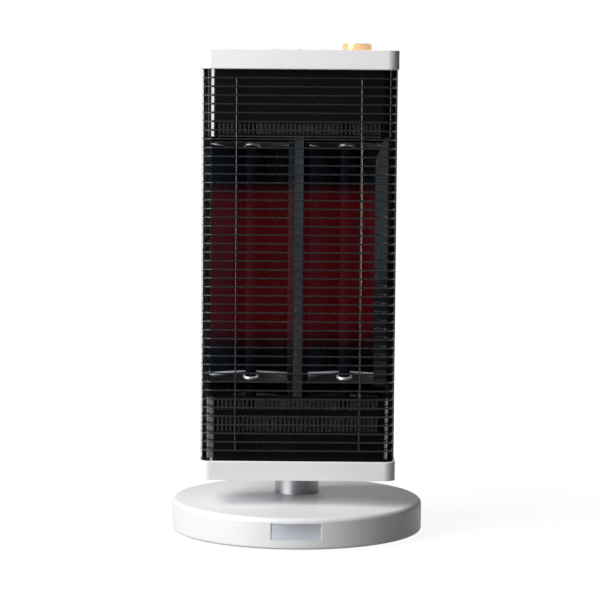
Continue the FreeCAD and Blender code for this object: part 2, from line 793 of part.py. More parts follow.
def drive_pinion():
    """Small gear with its shaft, in mesh with the sector."""
    teeth = round(number("Sizes.pinion_teeth"))
    step = 2 * math.pi / teeth
    rim = [point for index in range(teeth)
           for point in tooth_points(teeth, math.pi / 2 + (index + 0.5) * step)]
    overlap, depth = number("Sizes.pinion_overlap"), number("Sizes.motor_shaft_depth")
    wheel = Part.Face(Part.makePolygon([*rim, rim[0]]))
    wheel = wheel.extrude(Vector(0, 0, number("Sizes.gear_thickness") + 2 * overlap))
    length = number(f"{GEAR_LOW} - {MOTOR_TOP}") - overlap + depth
    shaft = Part.makeCylinder(number("Sizes.motor_shaft_radius"), length, Vector(0, 0, -length))
    pinion = keep(solid(wheel.fuse(shaft).removeSplitter()), "drive_pinion")
    place(pinion, y=MOTOR_LINE, z=f"{GEAR_LOW} - Sizes.pinion_overlap")


def swing_motor():
    """Flat geared motor on the floor plate, with two fixing ears and a shaft bore."""
    body = new_body("swing_motor")
    pad(body, circles(sketch_on(body, "XY", PLATE_TOP), [("0", "0", "Sizes.motor_radius")]),
        "Sizes.motor_height")
    ear_low = f"({MOTOR_TOP} - Sizes.motor_ear_thickness)"
    ear = outline(sketch_on(body, "XY", ear_low), [
        ("-Sizes.motor_ear_reach", "-Sizes.motor_ear_radius"),
        ("Sizes.motor_ear_reach", "-Sizes.motor_ear_radius"),
        ("Sizes.motor_ear_reach", "Sizes.motor_ear_radius"),
        ("-Sizes.motor_ear_reach", "Sizes.motor_ear_radius"),
    ])
    pad(body, ear, "Sizes.motor_ear_thickness")
    bore = circles(sketch_on(body, "XY", MOTOR_TOP),
                   [("0", "0", "Sizes.motor_shaft_radius + Sizes.running_gap")])
    pocket(body, bore, "Sizes.motor_shaft_depth + Sizes.seat_gap")
    place(body, y=MOTOR_LINE)


def power_board():
    """Circuit board in the foot with a relay and a filter block, on four spacers."""
    left, right = f"({BOARD_OUTER} - Sizes.power_board_width)", BOARD_OUTER
    near = "(Sizes.post_setback - Sizes.power_board_length / 2)"
    far = "(Sizes.post_setback + Sizes.power_board_length / 2)"
    top = f"({POWER_BOARD_LOW} + Sizes.board_thickness)"
    width = "Sizes.spacer_width"
    board = block((left, near, POWER_BOARD_LOW), (right, far, top))
    relay_left, relay_right = f"({right} - {width} - Sizes.relay_width)", f"({right} - {width})"
    relay = block((relay_left, f"{near} + {width}", top),
                  (relay_right, f"Sizes.post_setback - {width}", f"{top} + Sizes.relay_height"))
    choke = block((relay_left, f"Sizes.post_setback + {width}", top),
                  (relay_right, f"{far} - {width}", f"{top} + Sizes.relay_height"))
    keep(join(board, relay, choke), "power_board")
    corners = [(x, y) for x in (left, f"({right} - {width})") for y in (near, f"({far} - {width})")]
    spacers = [block((x, y, PLATE_TOP), (f"{x} + {width}", f"{y} + {width}", POWER_BOARD_LOW))
               for x, y in corners]
    keep(group(spacers), "board_spacers")


def tip_over_switch():
    """Closed switch can that cuts the power when the heater falls over."""
    half = "Sizes.tip_switch_size / 2"
    low = (f"-{BOARD_OUTER}", f"Sizes.post_setback - {half}", PLATE_TOP)
    high = (f"-{BOARD_OUTER} + Sizes.tip_switch_size", f"Sizes.post_setback + {half}",
            f"{PLATE_TOP} + Sizes.tip_switch_height")
    keep(block(low, high), "tip_over_switch")


def column():
    """Silver tube that carries the head."""
    body = new_body("column")
    tube = circles(sketch_on(body, "XY", TURNTABLE_TOP), [("0", "0", POST_RADIUS), ("0", "0", POST_BORE)])
    pad(body, tube, f"{POST_TOP} - {TURNTABLE_TOP}")
    place(body, y="Sizes.post_setback")


def column_head():
    """Yoke casting on the column: collar and two rounded ears for the tilt pin."""
    body = new_body("column_head")
    pad(body, circles(sketch_on(body, "XY", POST_TOP), [("0", "0", POST_RADIUS)]),
        "Sizes.yoke_collar")
    middle = "(Sizes.hinge_setback - Sizes.post_setback)"
    half = "(Sizes.yoke_width / 2)"
    near, far, top = f"{middle} - {half}", f"{middle} + {half}", f"Sizes.pivot_height + {half}"
    ear = pad(body, rectangle(sketch_on(body, "YZ", YOKE_INNER), near, far, YOKE_TOP, top),
              "Sizes.yoke_ear_thickness")
    mirror(body, [ear], "YZ")
    round_edges(body, f"{half} - Sizes.seat_gap", {"y": near, "z": top}, {"y": far, "z": top})
    pin_hole = circles(sketch_on(body, "YZ", YOKE_OUTER),
                       [(middle, "Sizes.pivot_height", "Sizes.pin_radius + Sizes.running_gap")])
    pocket(body, pin_hole, f"2 * {YOKE_OUTER}")
    place(body, y="Sizes.post_setback")


def tilt_pin():
    """Pin through the yoke's ears on which the head leans back."""
    reach = f"({YOKE_OUTER} + Sizes.pin_proud)"
    keep(drum("x", (f"-{reach}", "Sizes.hinge_setback", "Sizes.pivot_height"), f"2 * {reach}",
              "Sizes.pin_radius"), "tilt_pin")


def tilt_arm():
    """Knuckle between the yoke and the head: barrel, neck, round flange and hub."""
    line = ("Sizes.hinge_setback", "Sizes.pivot_height")
    half = f"({YOKE_INNER} - Sizes.seat_gap)"
    barrel = drum("x", (f"-{half}", *line), f"2 * {half}", "Sizes.barrel_radius")
    across, up = "Sizes.neck_width / 2", "Sizes.neck_height / 2"
    neck = block((f"-{across}", FLANGE_FRONT, f"Sizes.pivot_height - {up}"),
                 (across, "Sizes.hinge_setback", f"Sizes.pivot_height + {up}"))
    flange = drum("y", ("0", FLANGE_FRONT, "Sizes.pivot_height"), "Sizes.flange_thickness",
                  "Sizes.flange_radius")
    hub = drum("y", ("0", HUB_END, "Sizes.pivot_height"), f"{FLANGE_BACK} - {HUB_END}", "Sizes.hub_radius")
    pin_bore = drum("x", (f"-{YOKE_OUTER}", *line), f"2 * {YOKE_OUTER}",
                    "Sizes.pin_radius + Sizes.running_gap")
    keep(cut(join(barrel, neck, flange, hub), pin_bore), "tilt_arm")


def roll_retainer():
    """Square plate on the hub's end that keeps the head on the arm while it turns."""
    half = "(Sizes.hub_radius + Sizes.retainer_overlap)"
    keep(block((f"-{half}", f"{HUB_END} - Sizes.retainer_thickness", f"Sizes.pivot_height - {half}"),
               (half, HUB_END, f"Sizes.pivot_height + {half}")), "roll_retainer")


def cap_outline(body, level, margin):
    """Plan of a cap's outside, drawn in by a margin."""
    return rounded_rectangle(sketch_on(body, "XY", level), f"({HEAD_SIDE} - {margin})",
                             f"({HEAD_FRONT} + {margin})", f"({HEAD_BACK} - {margin})",
                             f"(Sizes.cap_front_round - {margin})", f"(Sizes.cap_rear_round - {margin})")


def cap(label, mouth, closed, upward):
    """Moulded end cap of the head, open at its mouth towards the other cap."""
    body = new_body(label)
    pad(body, cap_outline(body, mouth, "0"), "Sizes.cap_height", against=not upward)
    chamfer_edges(body, "Sizes.cap_edge_chamfer", {"z": closed})
    hollow = cap_outline(body, mouth, "Sizes.cap_wall")
    pocket(body, hollow, "Sizes.cap_height - Sizes.cap_wall", against=not upward)
    return body


def button_line(index):
    """Place of a button's middle across the cap; the middle one is on the centre line."""
    return "0" if index == 0 else f"{index} * Sizes.button_pitch"


def button_outline(body, level, index, margin):
    """Rectangle of one button grown by a margin."""
    half = f"(Sizes.button_length / 2 + {margin})"
    deep = f"(Sizes.button_width / 2 + {margin})"
    middle = button_line(index)
    return rectangle(sketch_on(body, "XY", level), f"{middle} - {half}", f"{middle} + {half}",
                     f"{CONTROL_LINE} - {deep}", f"{CONTROL_LINE} + {deep}")


def board_span():
    """Left, right, front and back of the control board."""
    left = "(-Sizes.button_pitch - Sizes.button_length / 2 - Sizes.control_board_margin)"
    right = f"({DIAL_LINE} + Sizes.encoder_size / 2 + Sizes.control_board_margin)"
    half = "Sizes.control_board_depth / 2"
    return left, right, f"({CONTROL_LINE} - {half})", f"({CONTROL_LINE} + {half})"


def top_cap():
    """Upper cap with the dial's hole, three button holes and a board rib at each side."""
    body = cap("top_cap", UPPER_DECK, HEAD_TOP, upward=True)
    shaft_hole = circles(sketch_on(body, "XY", HEAD_TOP), [
        (DIAL_LINE, CONTROL_LINE, "Sizes.dial_shaft_radius + Sizes.dial_gap")])
    pocket(body, shaft_hole, "Sizes.cap_wall")
    for index in (-1, 0, 1):
        pocket(body, button_outline(body, HEAD_TOP, index, "Sizes.button_gap"), "Sizes.cap_wall")
    left, right, front, back = board_span()
    for start, end in ((left, f"{left} + Sizes.rib_thickness"), (f"{right} - Sizes.rib_thickness", right)):
        rib = rectangle(sketch_on(body, "XY", BOARD_TOP), start, end, front, back)
        pad(body, rib, "Sizes.control_board_drop + Sizes.cap_wall / 2")


def bottom_cap():
    """Lower cap, the same moulding turned over and without holes."""
    cap("bottom_cap", LOWER_DECK, "Sizes.head_foot_height", upward=False)


def deck(label, mouth, upward):
    """Black plate that closes a cap's mouth."""
    body = new_body(label)
    pad(body, cap_outline(body, mouth, "(Sizes.cap_wall + Sizes.deck_gap)"), "Sizes.deck_thickness",
        against=not upward)


def rear_shell():
    """White back cover: rounded channel with vents, hub hole and ribs that seat on the chassis."""
    body = new_body("rear_shell")
    front = f"({HEAD_BACK} - Sizes.shell_side_depth)"
    inner = f"({SHELL_SIDE} - Sizes.shell_wall)"
    pad(body, outline(sketch_on(body, "XY", LOWER_DECK), [
        (f"-{SHELL_SIDE}", front), (f"-{inner}", front), (f"-{inner}", SHELL_INNER_BACK),
        (inner, SHELL_INNER_BACK), (inner, front), (SHELL_SIDE, front),
        (SHELL_SIDE, HEAD_BACK), (f"-{SHELL_SIDE}", HEAD_BACK),
    ]), f"{UPPER_DECK} - {LOWER_DECK}")
    round_edges(body, "Sizes.shell_round",
                *({"x": side, "y": HEAD_BACK} for side in (f"-{SHELL_SIDE}", SHELL_SIDE)))
    round_edges(body, "Sizes.shell_round - Sizes.shell_wall",
                *({"x": side, "y": SHELL_INNER_BACK} for side in (f"-{inner}", inner)))
    for side in ("-Sizes.shell_rib_spread", "Sizes.shell_rib_spread"):
        rib = rectangle(sketch_on(body, "XY", LOWER_DECK),
                        f"{side} - Sizes.rib_thickness / 2", f"{side} + Sizes.rib_thickness / 2",
                        CHASSIS_BACK, f"{HEAD_BACK} - Sizes.shell_wall / 2")
        pad(body, rib, f"{UPPER_DECK} - {LOWER_DECK}")
    hub_hole = circles(sketch_on(body, "XZ", SHELL_INNER_BACK),
                       [("0", "Sizes.pivot_height", "Sizes.hub_radius + Sizes.hub_gap")])
    pocket(body, hub_hole, "Sizes.shell_wall")
    start = "(-Sizes.vent_pitch * (Sizes.vent_count - 1) / 2)"
    for level in (f"({UPPER_DECK} - Sizes.vent_rise - Sizes.vent_height)",
                  f"({LOWER_DECK} + Sizes.vent_rise)"):
        vent = rectangle(sketch_on(body, "XZ", SHELL_INNER_BACK),
                         f"{start} - Sizes.vent_width / 2", f"{start} + Sizes.vent_width / 2",
                         level, f"{level} + Sizes.vent_height")
        linear_pattern(body, [pocket(body, vent, "Sizes.shell_wall")], "X_Axis",
                       "Sizes.vent_pitch * (Sizes.vent_count - 1)", "Sizes.vent_count")


def chassis_plate():
    """Steel back plate between the decks with the collar in which the arm's hub turns."""
    edge = f"({FRAME_INNER} - Sizes.seat_gap)"
    bore = "(Sizes.hub_radius + Sizes.running_gap)"
    start = ("0", CHASSIS_FRONT, "Sizes.pivot_height")
    length = "(Sizes.chassis_thickness + Sizes.chassis_gap - Sizes.seat_gap)"
    plate = block((f"-{edge}", CHASSIS_FRONT, LOWER_DECK), (edge, CHASSIS_BACK, UPPER_DECK))
    collar = drum("y", start, length, f"{bore} + Sizes.roll_bush_wall")
    keep(cut(join(plate, collar), drum("y", start, length, bore)), "chassis_plate")


def side_frames():
    """Angle profiles between the decks that carry the mirrors, panels and guard."""
    body = new_body("right_side_frame")
    flange_front = f"({CHASSIS_FRONT} - Sizes.sheet_thickness)"
    flange = f"({FRAME_INNER} - Sizes.frame_flange)"
    pad(body, outline(sketch_on(body, "XY", LOWER_DECK), [
        (FRAME_INNER, FRAME_FRONT), (PANEL_INNER, FRAME_FRONT), (PANEL_INNER, CHASSIS_FRONT),
        (flange, CHASSIS_FRONT), (flange, flange_front), (FRAME_INNER, flange_front),
    ]), f"{UPPER_DECK} - {LOWER_DECK}")
    # Only between the panels does the frame reach forward to the mirror's edge.
    strip = rectangle(sketch_on(body, "XY", WINDOW_LOW), FRAME_INNER, PANEL_INNER, MIRROR_FRONT, FRAME_FRONT)
    pad(body, strip, f"{WINDOW_HIGH} - {WINDOW_LOW}")
    keep(mirrored(body), "left_side_frame")


def slot_rows(body, rows):
    """Rows of narrow slots across a panel, each row (low, height)."""
    reach = f"({PANEL_SIDE} - Sizes.slot_side_margin)"
    back = f"({PANEL_FRONT} + Sizes.sheet_thickness)"
    for low, height in rows:
        slot = rectangle(sketch_on(body, "XZ", PANEL_FRONT),
                         f"-{reach} - Sizes.slot_width / 2", f"-{reach} + Sizes.slot_width / 2",
                         low, f"{low} + {height}")
        linear_pattern(body, [pocket(body, slot, f"{back} - {PANEL_FRONT}")], "X_Axis",
                       f"2 * {reach}", "Sizes.slot_count")


def panel(label, low, high, lip_low, rows):
    """Black front panel: bent channel with rounded corners, slots and a lip at the window."""
    body = new_body(label)
    back = f"({PANEL_FRONT} + Sizes.panel_side_depth)"
    inner_front = f"({PANEL_FRONT} + Sizes.sheet_thickness)"
    pad(body, outline(sketch_on(body, "XY", low), [
        (f"-{PANEL_SIDE}", PANEL_FRONT), (PANEL_SIDE, PANEL_FRONT), (PANEL_SIDE, back),
        (PANEL_INNER, back), (PANEL_INNER, inner_front), (f"-{PANEL_INNER}", inner_front),
        (f"-{PANEL_INNER}", back), (f"-{PANEL_SIDE}", back),
    ]), f"{high} - {low}")
    round_edges(body, "Sizes.panel_round",
                *({"x": side, "y": PANEL_FRONT} for side in (f"-{PANEL_SIDE}", PANEL_SIDE)))
    round_edges(body, "Sizes.panel_round - Sizes.sheet_thickness",
                *({"x": side, "y": inner_front} for side in (f"-{PANEL_INNER}", PANEL_INNER)))
    lip_side = f"({FRAME_INNER} - Sizes.panel_round)"
    lip = rectangle(sketch_on(body, "XY", lip_low), f"-{lip_side}", lip_side,
                    f"{PANEL_FRONT} + Sizes.sheet_thickness / 2", f"{PANEL_FRONT} + Sizes.panel_lip")
    pad(body, lip, "Sizes.sheet_thickness")
    slot_rows(body, rows)


def upper_panel():
    """Panel over the window, with one row of slots."""
    panel("upper_panel", WINDOW_HIGH, UPPER_DECK, WINDOW_HIGH,
          [(f"({WINDOW_HIGH} + Sizes.slot_margin)", "Sizes.slot_height")])


def lower_panel():
    """Panel under the window, with a short and a tall row of slots."""
    short_low = f"({WINDOW_LOW} - Sizes.slot_margin - Sizes.slot_height)"
    tall_low = f"({short_low} - Sizes.slot_row_gap - Sizes.tall_slot_height)"
    panel("lower_panel", LOWER_DECK, WINDOW_LOW, f"{WINDOW_LOW} - Sizes.sheet_thickness",
          [(short_low, "Sizes.slot_height"), (tall_low, "Sizes.tall_slot_height")])


def trough_outline(shift):
    """Front of a mirror's section from inner to outer: flare, three arcs near a parabola, flare."""
    bowl, side = mirror_arcs()
    level = f"({MIRROR_FRONT} + {shift})"
    flare = f"({level} + {FLARE_DEPTH})"
    depth = f"({flare} + Sizes.mirror_curve_depth - {BOWL_DEPTH})"
    return [
        (MIRROR_INNER, level),
        (f"{ROD_LINE} - {CURVE_HALF}", flare, (side, RIGHT)),
        (f"{ROD_LINE} - Sizes.mirror_bowl_half", depth, (bowl, RIGHT)),
        (f"{ROD_LINE} + Sizes.mirror_bowl_half", depth, (side, RIGHT)),
        (f"{ROD_LINE} + {CURVE_HALF}", flare),
        (FRAME_INNER, level),
    ]


def mirror_arcs():
    """Radii of the arcs through a parabola's points: the bowl's and the sides'."""
    bowl_radius = f"((Sizes.mirror_bowl_half ^ 2 + {BOWL_DEPTH} ^ 2) / (2 * {BOWL_DEPTH}))"
    step = f"({CURVE_HALF} - Sizes.mirror_bowl_half)"
    chord = f"sqrt({step} ^ 2 + (Sizes.mirror_curve_depth - {BOWL_DEPTH}) ^ 2)"
    sag = f"({step} ^ 3 / (16 * {MIRROR_FOCUS} * {chord}))"
    return bowl_radius, f"({chord} ^ 2 / (8 * {sag}) + {sag} / 2)"


def reversed_outline(points):
    """The same open outline walked the other way, with its arcs turned over."""
    back = []
    for index in range(len(points) - 1, -1, -1):
        arc = points[index - 1][2:] if index else ()
        back.append((*points[index][:2], *((radius, -side) for radius, side in arc)))
    return back


def mirrors():
    """Polished sheet troughs, each with its rod near the focal line."""
    body = new_body("right_reflector")
    land = "Sizes.seat_gap / 2"
    back = reversed_outline(trough_outline("Sizes.mirror_thickness"))
    section = [(land, MIRROR_FRONT), *trough_outline("0"), *back,
               (land, f"{MIRROR_FRONT} + Sizes.mirror_thickness")]
    pad(body, outline(sketch_on(body, "XY", WINDOW_LOW), section), f"{WINDOW_HIGH} - {WINDOW_LOW}")
    keep(mirrored(body), "left_reflector")


def reflector_divider():
    """Bevelled strip over the seam between the two mirrors."""
    body = new_body("reflector_divider")
    front = f"({MIRROR_FRONT} - Sizes.divider_thickness)"
    narrow = f"({MIRROR_INNER} - Sizes.divider_bevel)"
    pad(body, outline(sketch_on(body, "XY", WINDOW_LOW), [
        (f"-{MIRROR_INNER}", MIRROR_FRONT),
        (f"-{narrow}", front),
        (narrow, front),
        (MIRROR_INNER, MIRROR_FRONT),
    ]), f"{WINDOW_HIGH} - {WINDOW_LOW}")


def sloped_plate(side):
    """Mirror plate across a trough whose back leans inwards, with a hole for the rod."""
    body = doc.addObject("PartDesign::Body", "Trough")
    trough = trough_outline("-Sizes.end_plate_gap")
    pad(body, outline(sketch_on(body, "XY", WINDOW_LOW), trough), f"{WINDOW_HIGH} - {WINDOW_LOW}")
    high, low = f"({WINDOW_HIGH} - Sizes.upper_end_drop)", f"({WINDOW_LOW} + Sizes.lower_end_rise)"
    level = high if side == RIGHT else low
    slope, thickness = "Sizes.end_plate_slope", "Sizes.end_plate_thickness"
    slab = doc.addObject("Part::Box", "Slab")
    slab.Placement = Placement(Vector(), Rotation(Vector(1, 0, 0), -side * number(slope)))
    slab.setExpression("Placement.Rotation.Angle", f"{-side} * {slope}")
    slab.setExpression("Length", "Sizes.head_width")
    slab.setExpression("Width", "Sizes.head_depth")
    slab.setExpression("Height", thickness)
    offset = f"-{thickness}" if side == RIGHT else "0"
    place(slab, x="0", y=f"{MIRROR_FRONT} + ({offset}) * sin({slope}) * {side}",
          z=f"{level} + ({offset}) * cos({slope})")
    plate = doc.addObject("Part::Common", "Plate")
    plate.Base = body
    plate.Tool = slab
    drop = f"(({ROD_DEPTH} - {MIRROR_FRONT}) * tan({slope}) + {thickness} / 2)"
    middle = f"({level} - {side} * {drop})"
    bore = drum("z", (ROD_LINE, ROD_DEPTH, f"{middle} - Sizes.rod_diameter"), "2 * Sizes.rod_diameter",
                f"{ROD_RADIUS} + Sizes.rod_gap")
    return cut(plate, bore)


def end_plates():
    """Sloped mirror plates that close the troughs' ends round the rods."""
    for label, side in (("upper_end_plates", RIGHT), ("lower_end_plates", LEFT)):
        plate = sloped_plate(side)
        keep(group([plate, mirrored(plate)]), label)


def heater_rods():
    """Far infrared rods near the mirrors' focal lines, with a flat terminal at each end."""
    rod = drum("z", (ROD_LINE, ROD_DEPTH, ROD_LOW), f"{ROD_HIGH} - {ROD_LOW}", ROD_RADIUS)
    keep(rod, "right_heater_rod")
    keep(mirrored(rod), "left_heater_rod")
    across, deep = "Sizes.terminal_width / 2", "Sizes.terminal_thickness / 2"
    tabs = [block((f"{ROD_LINE} - {across}", f"{ROD_DEPTH} - {deep}", level),
                  (f"{ROD_LINE} + {across}", f"{ROD_DEPTH} + {deep}", f"{level} + Sizes.terminal_length"))
            for level in (ROD_HIGH, f"({ROD_LOW} - Sizes.terminal_length)")]
    keep(group(tabs + [mirrored(tab) for tab in tabs]), "rod_terminals")


def overheat_cutout():
    """Thermal cut-out on the chassis between the mirrors."""
    half, level = "Sizes.cutout_width / 2", "(Sizes.pivot_height + Sizes.cutout_rise)"
    keep(block((f"-{half}", f"{CHASSIS_FRONT} - Sizes.cutout_height", f"{level} - {half}"),
               (half, CHASSIS_FRONT, f"{level} + {half}")), "overheat_cutout")


def terminal_block():
    """Wiring block on the chassis behind the lower panel."""
    low = f"({WINDOW_LOW} - Sizes.lower_panel_height / 2)"
    keep(block(("-Sizes.terminal_block_width / 2", f"{CHASSIS_FRONT} - Sizes.terminal_block_depth", low),
               ("Sizes.terminal_block_width / 2", CHASSIS_FRONT, f"{low} + Sizes.terminal_block_height")),
         "terminal_block")


def guard_wires():
    """Level wires bent round the head's front corners, one pipe repeated upwards."""
    body = new_body("guard_wires")
    half = "(Sizes.guard_wire / 2)"
    side, front = f"({GUARD_SIDE} - {half})", f"({GUARD_FRONT} + {half})"
    bend = "Sizes.guard_bend"
    path = open_path(sketch_on(body, "XY", GUARD_LOW), [
        (f"-{side}", GUARD_BACK), (f"-{side}", f"{front} + {bend}"), (f"-{side} + {bend}", front),
        (f"{side} - {bend}", front), (side, f"{front} + {bend}"), (side, GUARD_BACK),
    ])
    section = rectangle(sketch_on(body, "XZ", GUARD_BACK), f"-{side} - {half}", f"-{side} + {half}",
                        f"{GUARD_LOW} - {half}", f"{GUARD_LOW} + {half}")
    doc.recompute()
    wire = body.newObject("PartDesign::AdditivePipe", "Wire")
    wire.Profile = section
    wire.Spine = (path, [f"Edge{index}" for index in range(1, path.GeometryCount + 1)])
    wire.Transition = "Right corner"
    linear_pattern(body, [wire], "Z_Axis", GUARD_SPAN, "Sizes.guard_wire_count")


def guard_frame():
    """Uprights behind the front wires, side rails at the wires' ends and clips to the frames."""
    half = "(Sizes.guard_wire / 2)"
    low, high = f"{GUARD_LOW} - {half}", f"{GUARD_HIGH} + {half}"
    line = "(Sizes.guard_upright_spacing / 2)"
    back = f"({GUARD_FRONT} + Sizes.guard_wire)"
    upright = block((f"{line} - {half}", back, low), (f"{line} + {half}", f"{back} + Sizes.guard_wire", high))
    keep(group([upright, mirrored(upright)]), "guard_uprights")
    rail_front = f"({GUARD_BACK} - Sizes.rail_width)"
    rail = block((RAIL_INNER, rail_front, low), (RAIL_OUTER, GUARD_BACK, high))
    keep(group([rail, mirrored(rail)]), "guard_rails")
    middle = f"(({WINDOW_LOW} + {WINDOW_HIGH}) / 2)"
    clips = []
    for step in (-1, 0, 1):
        foot = f"({middle} + {step} * Sizes.clip_spacing - Sizes.clip_height / 2)"
        clips.append(block((PANEL_INNER, rail_front, foot),
                           (RAIL_INNER, GUARD_BACK, f"{foot} + Sizes.clip_height")))
    keep(group(clips + [mirrored(clip) for clip in clips]), "guard_clips")


def control_board():
    """Board under the top cap with the dial's encoder and a switch below each button."""
    left, right, front, back = board_span()
    keep(block((left, front, BOARD_LOW), (right, back, BOARD_TOP)), "control_board")
    half = "Sizes.encoder_size / 2"
    case = block((f"{DIAL_LINE} - {half}", f"{CONTROL_LINE} - {half}", BOARD_TOP),
                 (f"{DIAL_LINE} + {half}", f"{CONTROL_LINE} + {half}",
                  f"{BOARD_TOP} + Sizes.encoder_height"))
    bore = drum("z", (DIAL_LINE, CONTROL_LINE,
                      f"{BOARD_TOP} + Sizes.encoder_height - Sizes.encoder_depth - Sizes.seat_gap"),
                "Sizes.encoder_height", "Sizes.dial_shaft_radius + Sizes.running_gap")
    keep(cut(case, bore), "dial_encoder")
    half = "Sizes.switch_size / 2"
    top = f"({BUTTON_FLANGE_LOW} - Sizes.button_travel - Sizes.button_gap)"
    switches = []
    for index in (-1, 0, 1):
        middle = button_line(index)
        switches.append(block((f"{middle} - {half}", f"{CONTROL_LINE} - {half}", BOARD_TOP),
                              (f"{middle} + {half}", f"{CONTROL_LINE} + {half}", top)))
    keep(group(switches), "button_switches")


def dial():
    """Amber drum with its shaft to the encoder, and the thin disc on its top."""
    radius = "(Sizes.dial_diameter / 2)"
    low, top = f"({HEAD_TOP} + Sizes.dial_gap)", f"({HEAD_TOP} + Sizes.dial_height)"
    shaft_low = f"({BOARD_TOP} + Sizes.encoder_height - Sizes.encoder_depth)"
    face = f"({top} - Sizes.dial_cap_thickness)"
    ring = ring_profile(new_body("dial_ring"), [
        ("0", shaft_low), ("Sizes.dial_shaft_radius", shaft_low), ("Sizes.dial_shaft_radius", low),
        (radius, low), (radius, face), ("0", face),
    ], CONTROL_LINE)
    edge = f"({radius} - Sizes.dial_rim)"
    disc = ring_profile(new_body("dial_cap"), [
        ("0", face), (edge, face), (edge, top), ("0", top),
    ], CONTROL_LINE)
    for body in (ring, disc):
        place(body, x=DIAL_LINE)


def button(label, index):
    """Push button with a flange under the cap that stops it from coming out."""
    body = new_body(label)
    pad(body, button_outline(body, BUTTON_FLANGE_TOP, index, "0"),
        f"{HEAD_TOP} + Sizes.button_proud - {BUTTON_FLANGE_TOP}")
    pad(body, button_outline(body, BUTTON_FLANGE_TOP, index, "Sizes.button_flange"),
        "Sizes.button_flange_thickness", against=True)


def build():
    """Make every sub-part, from the floor upwards."""
    for make in (base_cover, badge_plate, base_plate, ballast_blocks, rubber_feet, cord_gland,
                 swing_motor, power_board, tip_over_switch,
                 turntable, sector_gear, drive_pinion, column, column_head, tilt_pin, tilt_arm, roll_retainer,
                 top_cap, bottom_cap, rear_shell, chassis_plate, side_frames, upper_panel, lower_panel,
                 mirrors, reflector_divider, end_plates, heater_rods, overheat_cutout, terminal_block,
                 guard_wires, guard_frame, control_board, dial):
        make()
    deck("upper_deck", UPPER_DECK, upward=True)
    deck("lower_deck", LOWER_DECK, upward=False)
    for index, label in enumerate(("power_button", "swing_button", "timer_button"), start=-1):
        button(label, index)
    doc.recompute()


def check():
    """Stop if any object failed or any sub-part has no valid shape."""
    for item in doc.Objects:
        if "Invalid" in item.State or "Error" in item.State:
            raise ValueError(f"{item.Label} failed to recompute")
    for item in nodes:
        if item.Shape.isNull() or not item.Shape.isValid() or not item.Shape.Solids:
            raise ValueError(f"{item.Label} has no valid solid")


def write_out():
    """Write each sub-part to a file of its own name."""
    os.makedirs("parts", exist_ok=True)
    for item in nodes:
        item.Shape.exportStep(f"parts/{item.Label}.step")
        print(item.Label, len(item.Shape.Solids), "solids", round(item.Shape.Volume / 1000, 2), "cm3")


build()
check()
write_out()
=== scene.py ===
"""Looks of a free-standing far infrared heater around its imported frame.

Every length is in metres and every angle in degrees unless a name says otherwise. The heating side
faces -Y, +X is to the right as seen from the front, and +Z is up.
"""

import logging
import math
from collections.abc import Callable, Iterable, Mapping, Sequence
from dataclasses import dataclass
from enum import Enum
from functools import cached_property

import bmesh
import bpy
from bmesh.types import BMEdge, BMFace, BMVert
from mathutils import Matrix, Vector


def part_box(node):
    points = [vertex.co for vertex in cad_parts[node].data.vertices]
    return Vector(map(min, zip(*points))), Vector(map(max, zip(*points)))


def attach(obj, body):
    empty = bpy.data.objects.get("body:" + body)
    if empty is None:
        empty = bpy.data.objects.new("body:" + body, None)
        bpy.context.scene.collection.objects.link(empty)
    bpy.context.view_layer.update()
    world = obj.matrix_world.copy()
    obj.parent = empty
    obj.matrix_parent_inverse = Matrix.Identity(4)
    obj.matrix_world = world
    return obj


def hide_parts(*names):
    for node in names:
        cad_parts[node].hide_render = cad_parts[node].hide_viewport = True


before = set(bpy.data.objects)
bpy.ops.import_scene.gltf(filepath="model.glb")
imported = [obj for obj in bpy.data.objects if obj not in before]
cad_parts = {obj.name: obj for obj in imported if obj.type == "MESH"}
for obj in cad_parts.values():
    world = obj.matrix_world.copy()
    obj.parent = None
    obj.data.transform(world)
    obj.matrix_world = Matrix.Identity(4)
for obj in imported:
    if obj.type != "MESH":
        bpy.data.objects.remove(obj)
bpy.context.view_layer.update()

LOG = logging.getLogger("heater")

Colour = tuple[float, float, float]
Corner = tuple[Vector, float]
Turning = tuple[float, float, float]
Node = bpy.types.Node
Socket = bpy.types.NodeSocket
Inputs = Mapping[str | int, float | Sequence[float] | Socket]

X_AXIS = Vector((1.0, 0.0, 0.0))
Y_AXIS = Vector((0.0, 1.0, 0.0))
Z_AXIS = Vector((0.0, 0.0, 1.0))
FULL_TURN = 360.0
QUARTER_TURN = 90.0
SIDES = (-1.0, 1.0)
MERGE_DISTANCE = 1e-6
CLOSE = 2e-5
SMOOTH_ANGLE = 38.0
SHEET_SMOOTH_ANGLE = 25.0
WIRE_SMOOTH_ANGLE = 50.0
PATTERN_ENDS = (0.3, 0.7)
NOISE_DETAIL = 2.0
WHITE = (1.0, 1.0, 1.0, 1.0)


class Body(Enum):
    """The frame's moving bodies that carry pieces."""

    BASE = "base"
    STAND = "stand"
    TILT = "tilt"
    HEAD = "head"
    DIAL = "dial"
    POWER_KEY = "power_key"
    SWING_KEY = "swing_key"
    TIMER_KEY = "timer_key"


class Easing(Enum):
    """How a number runs from one end of a range to the other."""

    LINEAR = "LINEAR"
    SMOOTH = "SMOOTHSTEP"
    SMOOTHER = "SMOOTHERSTEP"


class Grain(Enum):
    """Fine pattern of a surface: grains per metre, and how far each axis stretches it."""

    MOULDED = (1400.0, (1.0, 1.0, 1.0))
    PAINTED = (700.0, (1.0, 1.0, 1.0))
    CAST = (320.0, (1.0, 1.0, 1.0))
    DRAWN_UP = (900.0, (1.0, 1.0, 0.015))
    DRAWN_ACROSS = (900.0, (0.015, 1.0, 1.0))
    ROLLED_UP = (260.0, (1.0, 1.0, 0.01))


